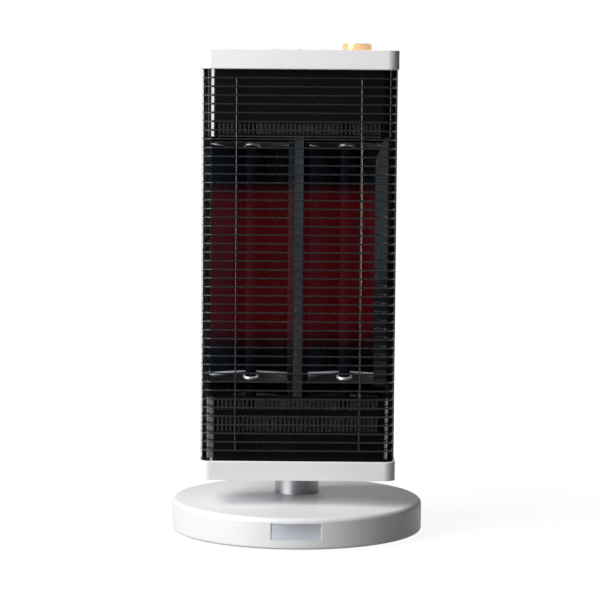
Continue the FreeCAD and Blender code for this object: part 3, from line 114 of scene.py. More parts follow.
class Sign(Enum):
    """Mark on a push button: whether it has a ring, and its strokes' ends in ring radii."""

    POWER = (True, ((0.0, 0.1, 0.0, 1.3),))
    SWING = (False, ((-1.4, 0.0, 1.4, 0.0), (-1.4, 0.0, -0.8, 0.6), (-1.4, 0.0, -0.8, -0.6),
                     (1.4, 0.0, 0.8, 0.6), (1.4, 0.0, 0.8, -0.6)))
    TIMER = (True, ((0.0, 0.0, 0.0, 0.65), (0.0, 0.0, 0.5, 0.0)))


class NodeBench:
    """Lays out the nodes of one material or world."""

    def __init__(self, owner: bpy.types.Material | bpy.types.World) -> None:
        """Empty the owner's node tree.

        Args:
            owner: what the nodes belong to.
        """
        owner.use_nodes = True
        self.tree = owner.node_tree
        self.tree.nodes.clear()

    @cached_property
    def place(self) -> Socket:
        """Coordinates of the piece itself."""
        return self.add("ShaderNodeTexCoord").outputs["Object"]

    def add(self, kind: str, inputs: Inputs | None = None, **options: str) -> Node:
        """Add a node, set its options and fill its inputs.

        Args:
            kind: the node's type.
            inputs: a constant, or a socket to link, for each named or numbered input.
            options: the node's own settings.

        Returns:
            The node.
        """
        node = self.tree.nodes.new(kind)
        for option, choice in options.items():
            setattr(node, option, choice)
        for name, value in (inputs or {}).items():
            if isinstance(value, Socket):
                self.tree.links.new(value, node.inputs[name])
            else:
                node.inputs[name].default_value = value
        return node

    def surface(self, shader: Node, output: str = "ShaderNodeOutputMaterial") -> None:
        """Join a shader to an output node, which is added."""
        self.add(output, {"Surface": shader.outputs[0]})

    def noise(self, scale: float, stretch: Sequence[float] = (1.0, 1.0, 1.0)) -> Socket:
        """Add a noise pattern on the piece's own coordinates.

        Args:
            scale: grains per metre.
            stretch: scale of each axis before the pattern is read.

        Returns:
            The pattern's value.
        """
        mapping = self.add("ShaderNodeMapping", {"Vector": self.place, "Scale": stretch})
        pattern = self.add("ShaderNodeTexNoise", {
            "Vector": mapping.outputs["Vector"], "Scale": scale, "Detail": NOISE_DETAIL})
        return pattern.outputs["Fac"]

    def ranged(self, value: Socket, ends: Sequence[float], results: Sequence[float],
               easing: Easing = Easing.LINEAR) -> Socket:
        """Map one range of numbers to another.

        Args:
            value: the number to map.
            ends: where the range starts and ends.
            results: what its start and its end become.
            easing: how the result runs between them.

        Returns:
            The mapped value.
        """
        limits = dict(zip(("From Min", "From Max", "To Min", "To Max"), (*ends, *results)))
        node = self.add("ShaderNodeMapRange", {"Value": value, **limits},
                        interpolation_type=easing.value)
        return node.outputs["Result"]

    def spread(self, value: Socket, middle: float, reach: float) -> Socket:
        """Return a number that a pattern moves up and down from a middle by a reach."""
        return self.ranged(value, PATTERN_ENDS, (middle - reach, middle + reach))

    def product(self, first: Socket, second: Socket) -> Socket:
        """Return the product of two values."""
        return self.add("ShaderNodeMath", {0: first, 1: second}, operation="MULTIPLY").outputs[0]

    def tint(self, value: Socket, low: Colour, high: Colour) -> Socket:
        """Mix two colours.

        Args:
            value: pattern that picks the mix.
            low: colour at the pattern's low end.
            high: colour at its high end.

        Returns:
            The mixed colour.
        """
        ramp = self.add("ShaderNodeValToRGB", {"Fac": value})
        for stop, place, colour in zip(ramp.color_ramp.elements, PATTERN_ENDS, (low, high)):
            stop.position = place
            stop.color = (*colour, 1.0)
        return ramp.outputs["Color"]

    def seen_apart(self, lighting: Node, seen: Node) -> Node:
        """Show camera, mirror and glass rays another shader than the one that lights the heater.

        Args:
            lighting: the shader for all other rays.
            seen: the shader for camera, mirror and glass rays.

        Returns:
            The mixed shader.
        """
        path = self.add("ShaderNodeLightPath").outputs
        value = path["Is Camera Ray"]
        for name in ("Is Glossy Ray", "Is Transmission Ray"):
            larger = self.add("ShaderNodeMath", {0: value, 1: path[name]}, operation="MAXIMUM")
            value = larger.outputs["Value"]
        shaders = {1: lighting.outputs[0], 2: seen.outputs[0]}
        return self.add("ShaderNodeMixShader", {"Fac": value, **shaders})


def material_of(name: str, lay_out: Callable[[NodeBench], Node]) -> bpy.types.Material:
    """Return a material, which is made on its first use.

    Args:
        name: the material's name.
        lay_out: makes its shader on a bench.

    Returns:
        The material.
    """
    made = bpy.data.materials.get(name)
    if made is None:
        made = bpy.data.materials.new(name)
        bench = NodeBench(made)
        bench.surface(lay_out(bench))
    return made


@dataclass(frozen=True)
class Finish:
    """A surface: its record slot, colour, gloss, and how much each of them varies."""

    slot: str
    colour: Colour
    roughness: float
    metallic: float = 0.0
    specular: float = 0.5
    coat: float = 0.0
    coat_roughness: float = 0.08
    grain: Grain = Grain.MOULDED
    mottle: float = 0.05
    mottle_scale: float = 14.0
    gloss_spread: float = 0.04
    bump: float = 0.08
    bump_depth: float = 0.0001
    label: str = ""

    def material(self) -> bpy.types.Material:
        """Return the finish's material."""
        return material_of(f"{self.label or self.slot}_finish", self.lay_out)

    def lay_out(self, bench: NodeBench) -> Node:
        """Make the finish's shader on a bench."""
        return bench.add("ShaderNodeBsdfPrincipled", self.inputs(bench))

    def shade(self, factor: float) -> Colour:
        """Return the colour made darker or lighter by a factor."""
        return tuple(min(1.0, part * factor) for part in self.colour)

    def inputs(self, bench: NodeBench) -> Inputs:
        """Lay out the patterns of the surface.

        Args:
            bench: where the nodes go.

        Returns:
            What goes into the shader.
        """
        coarse, fine = bench.noise(self.mottle_scale), bench.noise(*self.grain.value)
        dark, light = self.shade(1.0 - self.mottle), self.shade(1.0 + self.mottle)
        relief = bench.add("ShaderNodeBump", {
            "Strength": self.bump, "Distance": self.bump_depth, "Height": fine})
        return {
            "Base Color": bench.tint(coarse, dark, light),
            "Roughness": bench.spread(fine, self.roughness, self.gloss_spread),
            "Normal": relief.outputs["Normal"],
            "Metallic": self.metallic,
            "Specular IOR Level": self.specular,
            "Coat Weight": self.coat,
            "Coat Roughness": self.coat_roughness,
        }


@dataclass(frozen=True)
class RodFinish(Finish):
    """Dark surface that glows dull red along the rods' hot middle: on a rod its own heat glow, on
    the mirror flanks a painted reflection of that glow.
    """

    glow: Colour = (1.0, 0.02, 0.03)
    glow_strength: float = 0.038
    hot_low: float = 0.279
    hot_high: float = 0.480
    low_fade: float = 0.060
    high_fade: float = 0.034
    uneven: float = 0.1
    uneven_scale: float = 60.0

    def inputs(self, bench: NodeBench) -> Inputs:
        """Lay out the patterns of the surface with the glow along the rod.

        Args:
            bench: where the nodes go.

        Returns:
            What goes into the shader.
        """
        height = bench.add("ShaderNodeSeparateXYZ", {"Vector": bench.place}).outputs["Z"]
        strength = bench.spread(bench.noise(self.uneven_scale), 1.0, self.uneven)
        for level, fade, results in ((self.hot_low, self.low_fade, (0.0, self.glow_strength)),
                                     (self.hot_high, self.high_fade, (1.0, 0.0))):
            ends = (level - fade / 2.0, level + fade / 2.0)
            strength = bench.product(strength, bench.ranged(height, ends, results, Easing.SMOOTHER))
        glow = {"Emission Color": (*self.glow, 1.0), "Emission Strength": strength}
        return {**super().inputs(bench), **glow}


@dataclass(frozen=True)
class PaintedGlowFinish(Finish):
    """Amber plastic whose even emission is a painted glow, which brightens it however light falls;
    no lamp lights it.
    """

    glow: Colour = (0.7, 0.45, 0.22)
    glow_strength: float = 0.93
    uneven: float = 0.06
    uneven_scale: float = 90.0

    def inputs(self, bench: NodeBench) -> Inputs:
        """Lay out the patterns of the surface with the painted glow.

        Args:
            bench: where the nodes go.

        Returns:
            What goes into the shader.
        """
        pattern = bench.noise(self.uneven_scale)
        strength = bench.spread(pattern, self.glow_strength, self.uneven * self.glow_strength)
        glow = {"Emission Color": (*self.glow, 1.0), "Emission Strength": strength}
        return {**super().inputs(bench), **glow}


WHITE_SHELL = Finish("white_shell", (0.83, 0.83, 0.845), 0.42, mottle=0.012, bump=0.05)
BLACK_PANEL = Finish("black_panel", (0.005, 0.005, 0.0055), 0.16, specular=0.9,
                     grain=Grain.PAINTED, mottle=0.2, bump=0.015)
# Lighter, duller black for the bars between slots: a painted sheen that stands in for light caught
# by the slots' edges.
SLOT_BARS_PAINTED_SHEEN = Finish("black_panel", (0.0155, 0.0145, 0.0165), 0.45, grain=Grain.PAINTED,
                   mottle=0.15, bump=0.03, label="slot_bars_painted_sheen")
# Grey metal for the bead on the black panel's window edge: the rounded edge is real, its lighter
# colour is a painted highlight.
EDGE_BEAD_PAINTED_HIGHLIGHT = Finish("black_panel", (0.12, 0.12, 0.125), 0.3, metallic=0.8,
                   grain=Grain.DRAWN_ACROSS, label="edge_bead_painted_highlight")
MIRROR_SHEET = Finish("mirror_sheet", (0.86, 0.88, 0.89), 0.06, metallic=1.0,
                      grain=Grain.ROLLED_UP, mottle=0.03, gloss_spread=0.02, bump=0.02)
HIGH_END_SHEET = Finish("mirror_sheet", (0.19, 0.196, 0.205), 0.3, metallic=1.0,
                        grain=Grain.ROLLED_UP, mottle=0.06, label="end_sheet")
# Near-black, barely glossy copy of the end plates' sheet for the lower plates: painted shade.
LOW_END_PAINTED_SHADE = Finish("mirror_sheet", (0.013, 0.0145, 0.016), 0.5, specular=0.06,
                       grain=Grain.ROLLED_UP, mottle=0.06, label="low_end_painted_shade")
# Near-black copy of the mirror sheet for the flanks: painted shade, with the rods' red glow painted
# on as a reflection.
FLANK_PAINTED_SHADE_AND_GLOW = RodFinish("mirror_sheet", (0.012, 0.013, 0.016), 0.35, metallic=1.0,
                        grain=Grain.ROLLED_UP, mottle=0.06, glow_strength=0.031,
                        label="flank_painted_shade_and_glow")
DIVIDER_SHEET = Finish("mirror_sheet", (0.55, 0.6, 0.62), 0.24, metallic=1.0,
                       grain=Grain.ROLLED_UP, mottle=0.12, mottle_scale=70.0,
                       label="divider_sheet")
BRIGHT_METAL = Finish("bright_metal", (0.76, 0.76, 0.77), 0.22, metallic=1.0,
                      grain=Grain.DRAWN_ACROSS)
LOW_RING_METAL = Finish("bright_metal", (0.72, 0.74, 0.76), 0.42, metallic=0.7,
                        grain=Grain.DRAWN_ACROSS, label="ring_metal")
# Darker copy of the ring metal for the upper rings: painted shade.
HIGH_RING_PAINTED_SHADE = Finish("bright_metal", (0.46, 0.47, 0.48), 0.5, metallic=0.7,
                         grain=Grain.DRAWN_ACROSS, label="high_ring_painted_shade")
ROD_CERAMIC = RodFinish("rod_ceramic", (0.0042, 0.0062, 0.009), 0.85, specular=0.0,
                        grain=Grain.CAST, mottle=0.15)
GUARD_METAL = Finish("guard_metal", (0.011, 0.011, 0.012), 0.26, grain=Grain.PAINTED,
                     mottle=0.12, bump=0.03)
SILVER_TUBE = Finish("silver_tube", (0.46, 0.46, 0.475), 0.4, metallic=1.0,
                     grain=Grain.DRAWN_UP, mottle=0.03)
HINGE_METAL = Finish("hinge_metal", (0.5, 0.5, 0.515), 0.36, metallic=1.0, grain=Grain.CAST)
GEAR_PLASTIC = Finish("gear_plastic", (0.8, 0.78, 0.73), 0.5)
SHEET_STEEL = Finish("sheet_steel", (0.55, 0.56, 0.57), 0.34, metallic=1.0,
                     grain=Grain.DRAWN_ACROSS)
IRON_WEIGHT = Finish("iron_weight", (0.1, 0.1, 0.1), 0.7, metallic=0.6, grain=Grain.CAST,
                     mottle=0.2, bump=0.4, bump_depth=0.0004)
FOOT_RUBBER = Finish("foot_rubber", (0.025, 0.025, 0.026), 0.75, grain=Grain.CAST,
                     mottle=0.15, bump=0.2)
BADGE_SILVER = Finish("badge_silver", (0.6, 0.63, 0.68), 0.4, metallic=1.0,
                      grain=Grain.DRAWN_ACROSS)
# The dial grip's glow is painted light: an even emission brightens the amber plastic, which no lamp
# lights.
DIAL_AMBER_PAINTED_GLOW = PaintedGlowFinish("dial_amber", (0.34, 0.2, 0.08), 0.25, coat=0.4, mottle_scale=60.0)
DIAL_SILVER = Finish("dial_silver", (0.78, 0.77, 0.75), 0.3, metallic=0.6,
                     grain=Grain.DRAWN_ACROSS)
DARK_PLASTIC = Finish("dark_plastic", (0.04, 0.04, 0.043), 0.5, mottle=0.12)
MOTOR_METAL = Finish("motor_metal", (0.42, 0.42, 0.43), 0.4, metallic=0.9,
                     grain=Grain.DRAWN_ACROSS)
BOARD_GREEN = Finish("board_green", (0.03, 0.19, 0.09), 0.4, mottle=0.2, mottle_scale=220.0)
BUTTON_PLASTIC = Finish("button_plastic", (0.74, 0.74, 0.755), 0.36, mottle=0.02)


def box_ends(node: str) -> tuple[Vector, Vector]:
    """Return the lowest and the highest corner of a frame node's box."""
    low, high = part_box(node)
    return Vector(low), Vector(high)


def middle_of(node: str) -> Vector:
    """Return the middle of a frame node's box."""
    low, high = box_ends(node)
    return (low + high) / 2.0


def turn_by(angle: float, axis: str = "Z") -> Matrix:
    """Return a turn by an angle about a main axis."""
    return Matrix.Rotation(math.radians(angle), 3, axis)


def facing(centre: Vector, direction: Vector) -> Matrix:
    """Return the placing that moves the origin to a centre and turns +Z to a direction."""
    turn = Z_AXIS.rotation_difference(direction).to_matrix().to_4x4()
    return Matrix.Translation(centre) @ turn


def verts_of(edges: Iterable[BMEdge]) -> list[BMVert]:
    """Return the vertices of some edges, each of them once."""
    return list(dict.fromkeys(vert for edge in edges for vert in edge.verts))


def edges_of(verts: Iterable[BMVert]) -> list[BMEdge]:
    """Return the edges that meet in some vertices, each of them once."""
    return list(dict.fromkeys(edge for vert in verts for edge in vert.link_edges))


class Blank:
    """A mesh in the making, shaped with bmesh operators."""

    def __init__(self) -> None:
        """Start with an empty mesh."""
        self.bm = bmesh.new()

    @property
    def geometry(self) -> list[BMVert | BMEdge | BMFace]:
        """Everything in the mesh."""
        return self.bm.verts[:] + self.bm.edges[:] + self.bm.faces[:]

    def chain(self, points: Iterable[Vector], closed: bool = False) -> list[BMEdge]:
        """Join points with edges.

        Args:
            points: the points in order.
            closed: whether the last point joins the first.

        Returns:
            The edges in order.
        """
        verts = [self.bm.verts.new(point) for point in points]
        following = verts[1:] + verts[:1] if closed else verts[1:]
        return [self.bm.edges.new(pair) for pair in zip(verts, following)]

    def rounded_loop(self, corners: Sequence[Corner], segments: int) -> list[BMEdge]:
        """Make a closed outline with rounded corners.

        Args:
            corners: each corner's place and radius, in order.
            segments: edges in each rounded corner.

        Returns:
            The outline's edges.
        """
        verts = [self.bm.verts.new(place) for place, _ in corners]
        self.bm.faces.new(verts)
        others = set(self.bm.faces[:-1])
        for vert, (_, radius) in zip(verts, corners):
            if radius > 0.0:
                bmesh.ops.bevel(self.bm, geom=[vert], offset=radius, offset_type="OFFSET",
                                segments=segments, profile=0.5, affect="VERTICES",
                                clamp_overlap=False, material=-1)
        face = next(face for face in self.bm.faces if face not in others)
        edges = list(face.edges)
        bmesh.ops.delete(self.bm, geom=[face], context="FACES_ONLY")
        return edges

    def rectangle(self, centre: Vector, across: Vector, up: Vector, radius: float = 0.0,
                  segments: int = 4) -> list[BMEdge]:
        """Make a rectangle with equal rounded corners.

        Args:
            centre: its middle.
            across: from the middle to the middle of one side.
            up: from the middle to the middle of the next side.
            radius: corner radius.
            segments: edges in each corner.

        Returns:
            The outline's edges.
        """
        reaches = (-across - up, across - up, across + up, -across + up)
        return self.rounded_loop([(centre + reach, radius) for reach in reaches], segments)

    def circle(self, centre: Vector, axis: Vector, radius: float, segments: int) -> list[BMEdge]:
        """Make a circle of edges.

        Args:
            centre: its middle.
            axis: direction that it faces.
            radius: its radius.
            segments: number of edges.

        Returns:
            The circle's edges.
        """
        made = bmesh.ops.create_circle(self.bm, cap_ends=False, segments=segments, radius=radius,
                                       matrix=facing(centre, axis))
        return edges_of(made["verts"])

    def fill(self, edges: Iterable[BMEdge]) -> list[BMFace]:
        """Fill an outline, leaving the outlines inside it open.

        Args:
            edges: the outer outline's edges and those of its openings.

        Returns:
            The faces made.
        """
        made = bmesh.ops.triangle_fill(self.bm, use_beauty=True, use_dissolve=False,
                                       edges=list(edges))
        return [item for item in made["geom"] if isinstance(item, BMFace)]

    def sweep(self, edges: Iterable[BMEdge], by: Vector) -> list[BMEdge]:
        """Draw edges out into faces.

        Args:
            edges: the edges to draw out.
            by: how far and which way.

        Returns:
            The edges at the far end.
        """
        made = bmesh.ops.extrude_edge_only(self.bm, edges=list(edges))
        verts = [item for item in made["geom"] if isinstance(item, BMVert)]
        bmesh.ops.translate(self.bm, verts=verts, vec=by)
        return [item for item in made["geom"] if isinstance(item, BMEdge)]

    def block(self, outline: Iterable[BMEdge], by: Vector) -> None:
        """Fill an outline and draw it out into a closed block.

        Args:
            outline: the outline's edges.
            by: how far and which way.
        """
        made = bmesh.ops.extrude_face_region(self.bm, geom=self.fill(outline))
        verts = [item for item in made["geom"] if isinstance(item, BMVert)]
        bmesh.ops.translate(self.bm, verts=verts, vec=by)

    def spin(self, edges: Iterable[BMEdge], centre: Vector, axis: Vector, steps: int,
             angle: float = FULL_TURN) -> list[BMEdge]:
        """Draw edges round an axis, and join both ends of a full turn.

        Args:
            edges: the edges to draw.
            centre: a point on the axis.
            axis: direction of the axis.
            steps: faces along the turn.
            angle: how far to turn.

        Returns:
            The edges at the far end.
        """
        edges = list(edges)
        made = bmesh.ops.spin(self.bm, geom=verts_of(edges) + edges, cent=centre, axis=axis,
                              dvec=Vector(), angle=math.radians(angle), steps=steps,
                              use_merge=angle == FULL_TURN, use_duplicate=False)
        return [item for item in made["geom_last"] if isinstance(item, BMEdge)]

    def lathe(self, profile: Sequence[Turning], centre: Vector, axis: Vector, steps: int,
              segments: int = 4) -> None:
        """Turn a rounded profile a full circle round a main axis.

        Args:
            profile: each corner's distance from the axis, place along it and radius, in order.
            centre: a point on the axis.
            axis: direction of the axis.
            steps: faces round the circle.
            segments: edges in each rounded corner.
        """
        origin = centre - centre.dot(axis) * axis
        outward = X_AXIS if axis == Z_AXIS else Z_AXIS
        corners = [(origin + reach * outward + along * axis, radius)
                   for reach, along, radius in profile]
        edges = self.rounded_loop(corners, segments)
        outline = [edge for edge in edges
                   if max((vert.co - origin).dot(outward) for vert in edge.verts) > CLOSE]
        on_axis = [edge for edge in edges if edge not in outline]
        bmesh.ops.delete(self.bm, geom=on_axis, context="EDGES")
        self.spin(outline, origin, axis, steps)

    def split(self, place: Vector, direction: Vector) -> None:
        """Cut every face along a plane through a place, square to a direction."""
        bmesh.ops.bisect_plane(self.bm, geom=self.geometry, dist=MERGE_DISTANCE, plane_co=place,
                               plane_no=direction)

    def edges_where(self, test: Callable[[Vector], bool]) -> list[BMEdge]:
        """Return the edges whose two ends both pass a test."""
        return [edge for edge in self.bm.edges if all(test(vert.co) for vert in edge.verts)]

    def mark_faces(self, test: Callable[[BMFace], bool]) -> None:
        """Give the faces that pass a test the piece's second finish."""
        for face in self.bm.faces:
            face.material_index = int(test(face))

    def soften(self, edges: Iterable[BMEdge], radius: float, segments: int = 3) -> None:
        """Round edges.

        Args:
            edges: the edges to round.
            radius: radius of the round.
            segments: faces across it.
        """
        bmesh.ops.bevel(self.bm, geom=list(edges), offset=radius, offset_type="OFFSET",
                        segments=segments, profile=0.5, affect="EDGES", clamp_overlap=True,
                        material=-1)

    def sharp_edges(self, angle: float) -> list[BMEdge]:
        """Return the edges that fold by more than an angle."""
        limit = math.radians(angle)
        return [edge for edge in self.bm.edges if edge.calc_face_angle(0.0) > limit]

    def tidy(self) -> None:
        """Merge doubles and point every face outwards."""
        bmesh.ops.remove_doubles(self.bm, verts=self.bm.verts[:], dist=MERGE_DISTANCE)
        bmesh.ops.recalc_face_normals(self.bm, faces=self.bm.faces[:])

    def face_out(self, direction: Vector) -> None:
        """Merge doubles and point an open sheet's faces outwards.

        Args:
            direction: a way in which the sheet's outermost face looks.
        """
        self.tidy()
        outer = max(self.bm.faces, key=lambda face: face.calc_center_median().dot(direction))
        if outer.normal.dot(direction) < 0.0:
            bmesh.ops.reverse_faces(self.bm, faces=self.bm.faces[:])

    def give_wall(self, direction: Vector, thickness: float) -> None:
        """Point an open sheet's faces outwards and give it a wall behind them."""
        self.face_out(direction)
        bmesh.ops.solidify(self.bm, geom=self.bm.faces[:], thickness=thickness)

    def mirrored_copy(self) -> None:
        """Add a copy of the mesh on the other side of the middle plane."""
        bmesh.ops.mirror(self.bm, geom=self.geometry, matrix=Matrix.Identity(4), merge_dist=-1.0,
                         axis="X")
        bmesh.ops.recalc_face_normals(self.bm, faces=self.bm.faces[:])

    def absorb(self, other: "Blank") -> None:
        """Take over another blank's mesh.

        Args:
            other: the blank, which is used up.
        """
        loose = bpy.data.meshes.new("loose")
        other.bm.to_mesh(loose)
        other.bm.free()
        self.bm.from_mesh(loose)
        bpy.data.meshes.remove(loose)

    def carve(self, tools: Iterable["Blank"]) -> None:
        """Cut closed shapes out of the mesh.

        Args:
            tools: the shapes to cut out, which are used up.
        """
        work = self.to_object("work")
        cutters = [tool.to_object("cutter") for tool in tools]
        for cutter in cutters:
            cut = work.modifiers.new("cut", "BOOLEAN")
            cut.operation = "DIFFERENCE"
            cut.solver = "EXACT"
            cut.object = cutter
        bpy.context.view_layer.update()
        shaped = work.evaluated_get(bpy.context.evaluated_depsgraph_get())
        result = bpy.data.meshes.new_from_object(shaped)
        self.bm = bmesh.new()
        self.bm.from_mesh(result)
        for mesh in (result, *(item.data for item in (work, *cutters))):
            bpy.data.meshes.remove(mesh)

    def to_object(self, name: str) -> bpy.types.Object:
        """Turn the blank into an object in the scene.

        Args:
            name: the object's name.

        Returns:
            The object, at the origin.
        """
        mesh = bpy.data.meshes.new(name)
        self.bm.to_mesh(mesh)
        self.bm.free()
        made = bpy.data.objects.new(name, mesh)
        bpy.context.scene.collection.objects.link(made)
        return made

    def finish(self, name: str, body: Body, finish: Finish, replaced: str = "",
               smooth_angle: float = SMOOTH_ANGLE, second: Finish | None = None) -> None:
        """Turn the blank into a smooth piece with its finish and hang it on its body.

        Args:
            name: the piece's name.
            body: the body that carries it.
            finish: its surface.
            replaced: frame node that it stands for, if any.
            smooth_angle: folds sharper than this stay sharp.
            second: surface of the marked faces.
        """
        made = self.to_object(name)
        made.data.shade_smooth()
        made.data.set_sharp_from_angle(angle=math.radians(smooth_angle))
        for surface in (finish, second):
            if surface:
                made.data.materials.append(surface.material())
        made.modifiers.new("even_normals", "WEIGHTED_NORMAL").keep_sharp = True
        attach(made, body.value)
        if replaced:
            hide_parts(replaced)
        LOG.info("%s rides on %s in %s", name, body.value, finish.slot)


@dataclass(frozen=True)
class ScrewHead:
    """A small cross-slotted screw head, with its sizes in head radii."""

    radius: float
    top: float = 0.86
    rise: float = 0.35
    sink: float = 0.5
    arm: float = 0.6
    slot_half: float = 0.14
    steps: int = 16

    def blank(self, centre: Vector, outward: Vector) -> Blank:
        """Make one head.

        Args:
            centre: middle of the head on the surface.
            outward: direction that the head faces.

        Returns:
            The head's mesh.
        """
        blank = Blank()
        arm, half = self.arm, self.slot_half
        level = self.rise * Z_AXIS
        top = blank.circle(level, Z_AXIS, self.top, self.steps)
        quarter = (Vector((half, half, 0.0)), Vector((half, arm, 0.0)), Vector((-half, arm, 0.0)))
        cross = [turn_by(QUARTER_TURN * index) @ place + level
                 for index in range(4) for place in quarter]
        slot = blank.chain(cross, closed=True)
        blank.fill(top + slot)
        rim = verts_of(blank.sweep(top, -level))
        bmesh.ops.scale(blank.bm, vec=(1.0 / self.top, 1.0 / self.top, 1.0), verts=rim)
        blank.fill(blank.sweep(slot, -self.sink * Z_AXIS))
        placing = facing(centre, outward) @ Matrix.Scale(self.radius, 4)
        bmesh.ops.transform(blank.bm, matrix=placing, verts=blank.bm.verts[:])
        blank.tidy()
        return blank


@dataclass
class Foot:
    """The round foot: cover, badge, rubber feet and the screws of its floor."""

    crown: float = 0.005
    crown_flat: float = 0.060
    crown_round: float = 0.02
    edge_round: float = 0.0065
    lower_round: float = 0.0035
    wall: float = 0.004
    ceiling: float = 0.0435
    ceiling_round: float = 0.003
    cover_steps: int = 144
    post_gap: float = 0.0008
    post_cut_low: float = 0.03
    post_cut_height: float = 0.05
    post_steps: int = 96
    badge_margin: float = 0.0002
    badge_recess: float = 0.0032
    badge_cut_past: float = 0.0009
    badge_cut_steps: int = 24
    recess_round: float = 0.0007
    recess_fold: float = 45.0
    recess_reach: float = 0.0008
    recess_close: float = 8e-5
    badge_thickness: float = 0.0012
    badge_round: float = 0.0003
    badge_fold: float = 50.0
    badge_steps: int = 28
    gland_flange: float = 0.003
    gland_cut_depth: float = 0.04
    sole_radius: float = 0.011
    sole_round: float = 0.0015
    dish_rim: float = 0.5
    dish_floor: float = 0.4
    dish_depth: float = 0.0012
    sole_count: int = 5
    sole_steps: int = 32
    screw: ScrewHead = ScrewHead(0.0036)
    screw_circle: float = 0.155

    def build(self) -> None:
        """Build every piece of the foot."""
        self.cover()
        self.badge()
        self.rubber_feet()
        self.floor_screws()

    def cover(self) -> None:
        """Build the cover with its post hole, badge recess and gland opening."""
        low, high = box_ends("base_cover")
        radius, inner = high.x, high.x - self.wall
        blank = Blank()
        blank.lathe([
            (0.0, high.z, 0.0), (self.crown_flat, high.z, self.crown_round),
            (radius, high.z - self.crown, self.edge_round), (radius, low.z, self.lower_round),
            (inner, low.z, 0.0), (inner, self.ceiling, self.ceiling_round),
            (0.0, self.ceiling, 0.0)], Vector(), Z_AXIS, self.cover_steps, segments=5)
        blank.tidy()
        blank.carve([self.post_cutter(), self.badge_cutter(radius), self.gland_cutter(radius)])
        rim = [edge for edge in blank.sharp_edges(self.recess_fold)
               if all(self.on_recess_rim(vert.co, radius) for vert in edge.verts)]
        blank.soften(rim, self.recess_round, segments=2)
        blank.finish("foot_cover", Body.BASE, WHITE_SHELL, "base_cover")

    def on_recess_rim(self, place: Vector, radius: float) -> bool:
        """Tell whether a point lies on the mouth of the badge recess.

        Args:
            place: the point.
            radius: the foot's radius.

        Returns:
            True for a point of the recess's mouth.
        """
        low, high = box_ends("badge_plate")
        margin = self.recess_reach
        inside = (low.x - margin < place.x < high.x + margin and place.y < 0.0
                  and low.z - margin < place.z < high.z + margin)
        return inside and abs(place.xy.length - radius) <= self.recess_close

    def post_cutter(self) -> Blank:
        """Make the shape of the hole round the post.

        Returns:
            The cutter.
        """
        blank, post = Blank(), middle_of("column")
        reach = box_ends("column")[1].x + self.post_gap
        centre = Vector((post.x, post.y, self.post_cut_low))
        ring = blank.circle(centre, Z_AXIS, reach, self.post_steps)
        blank.block(ring, self.post_cut_height * Z_AXIS)
        blank.tidy()
        return blank

    def badge_cutter(self, radius: float) -> Blank:
        """Make the shape of the badge recess.

        Args:
            radius: the foot's radius.

        Returns:
            The cutter.
        """
        low, high = box_ends("badge_plate")
        half_angle = math.degrees(math.asin((high.x + self.badge_margin) / radius))
        tall = (high.z - low.z) / 2.0 + self.badge_margin
        blank = Blank()
        section = blank.rectangle(
            Vector((0.0, -radius - self.badge_cut_past, (low.z + high.z) / 2.0)),
            (self.badge_recess + self.badge_cut_past) * Y_AXIS, tall * Z_AXIS)
        blank.fill(section)
        bmesh.ops.rotate(blank.bm, cent=Vector(), matrix=turn_by(-half_angle),
                         verts=verts_of(section))
        blank.fill(blank.spin(section, Vector(), Z_AXIS, self.badge_cut_steps, 2.0 * half_angle))
        blank.tidy()
        return blank

    def gland_cutter(self, radius: float) -> Blank:
        """Make the shape of the gland's opening.

        Args:
            radius: the foot's radius.

        Returns:
            The cutter.
        """
        low, high = box_ends("cord_gland")
        tall = (high.z - low.z) / 2.0 - self.gland_flange
        centre = Vector((0.0, radius - self.gland_cut_depth / 2.0, (low.z + high.z) / 2.0))
        blank = Blank()
        opening = blank.rectangle(centre, (high.x - self.gland_flange) * X_AXIS, tall * Z_AXIS)
        blank.block(opening, self.gland_cut_depth * Y_AXIS)
        blank.tidy()
        return blank

    def badge(self) -> None:
        """Build the bare badge plate, bent to the foot's curve."""
        low, high = box_ends("badge_plate")
        half_angle = math.degrees(math.asin(high.x / -low.y))
        blank = Blank()
        start = turn_by(-half_angle) @ Vector((0.0, low.y, 0.0))
        edge = blank.chain([start + low.z * Z_AXIS, start + high.z * Z_AXIS])
        blank.spin(edge, Vector(), Z_AXIS, self.badge_steps, 2.0 * half_angle)
        blank.give_wall(-Y_AXIS, self.badge_thickness)
        blank.tidy()
        blank.soften(blank.sharp_edges(self.badge_fold), self.badge_round, segments=2)
        blank.finish("bare_badge", Body.BASE, BADGE_SILVER, "badge_plate")

    def rubber_feet(self) -> None:
        """Build the ring of rubber feet with a dished sole."""
        low, high = box_ends("rubber_feet")
        radius, dish = self.sole_radius, low.z + self.dish_depth
        blank = Blank()
        for index in range(self.sole_count):
            turn = turn_by(FULL_TURN * index / self.sole_count)
            blank.lathe([
                (0.0, high.z, 0.0), (radius, high.z, 0.0), (radius, low.z, self.sole_round),
                (radius * self.dish_rim, low.z, 0.0), (radius * self.dish_floor, dish, 0.0),
                (0.0, dish, 0.0)], turn @ ((high.y - radius) * Y_AXIS), Z_AXIS, self.sole_steps)
        blank.tidy()
        blank.finish("rubber_soles", Body.BASE, FOOT_RUBBER, "rubber_feet")

    def floor_screws(self) -> None:
        """Build the screws that hold the foot's floor, between the rubber feet."""
        place = Vector((0.0, self.screw_circle, box_ends("base_plate")[0].z))
        blank = Blank()
        for index in range(self.sole_count):
            turn = turn_by(FULL_TURN * (index + 0.5) / self.sole_count)
            blank.absorb(self.screw.blank(turn @ place, -Z_AXIS))
        blank.finish("floor_screws", Body.BASE, BRIGHT_METAL)


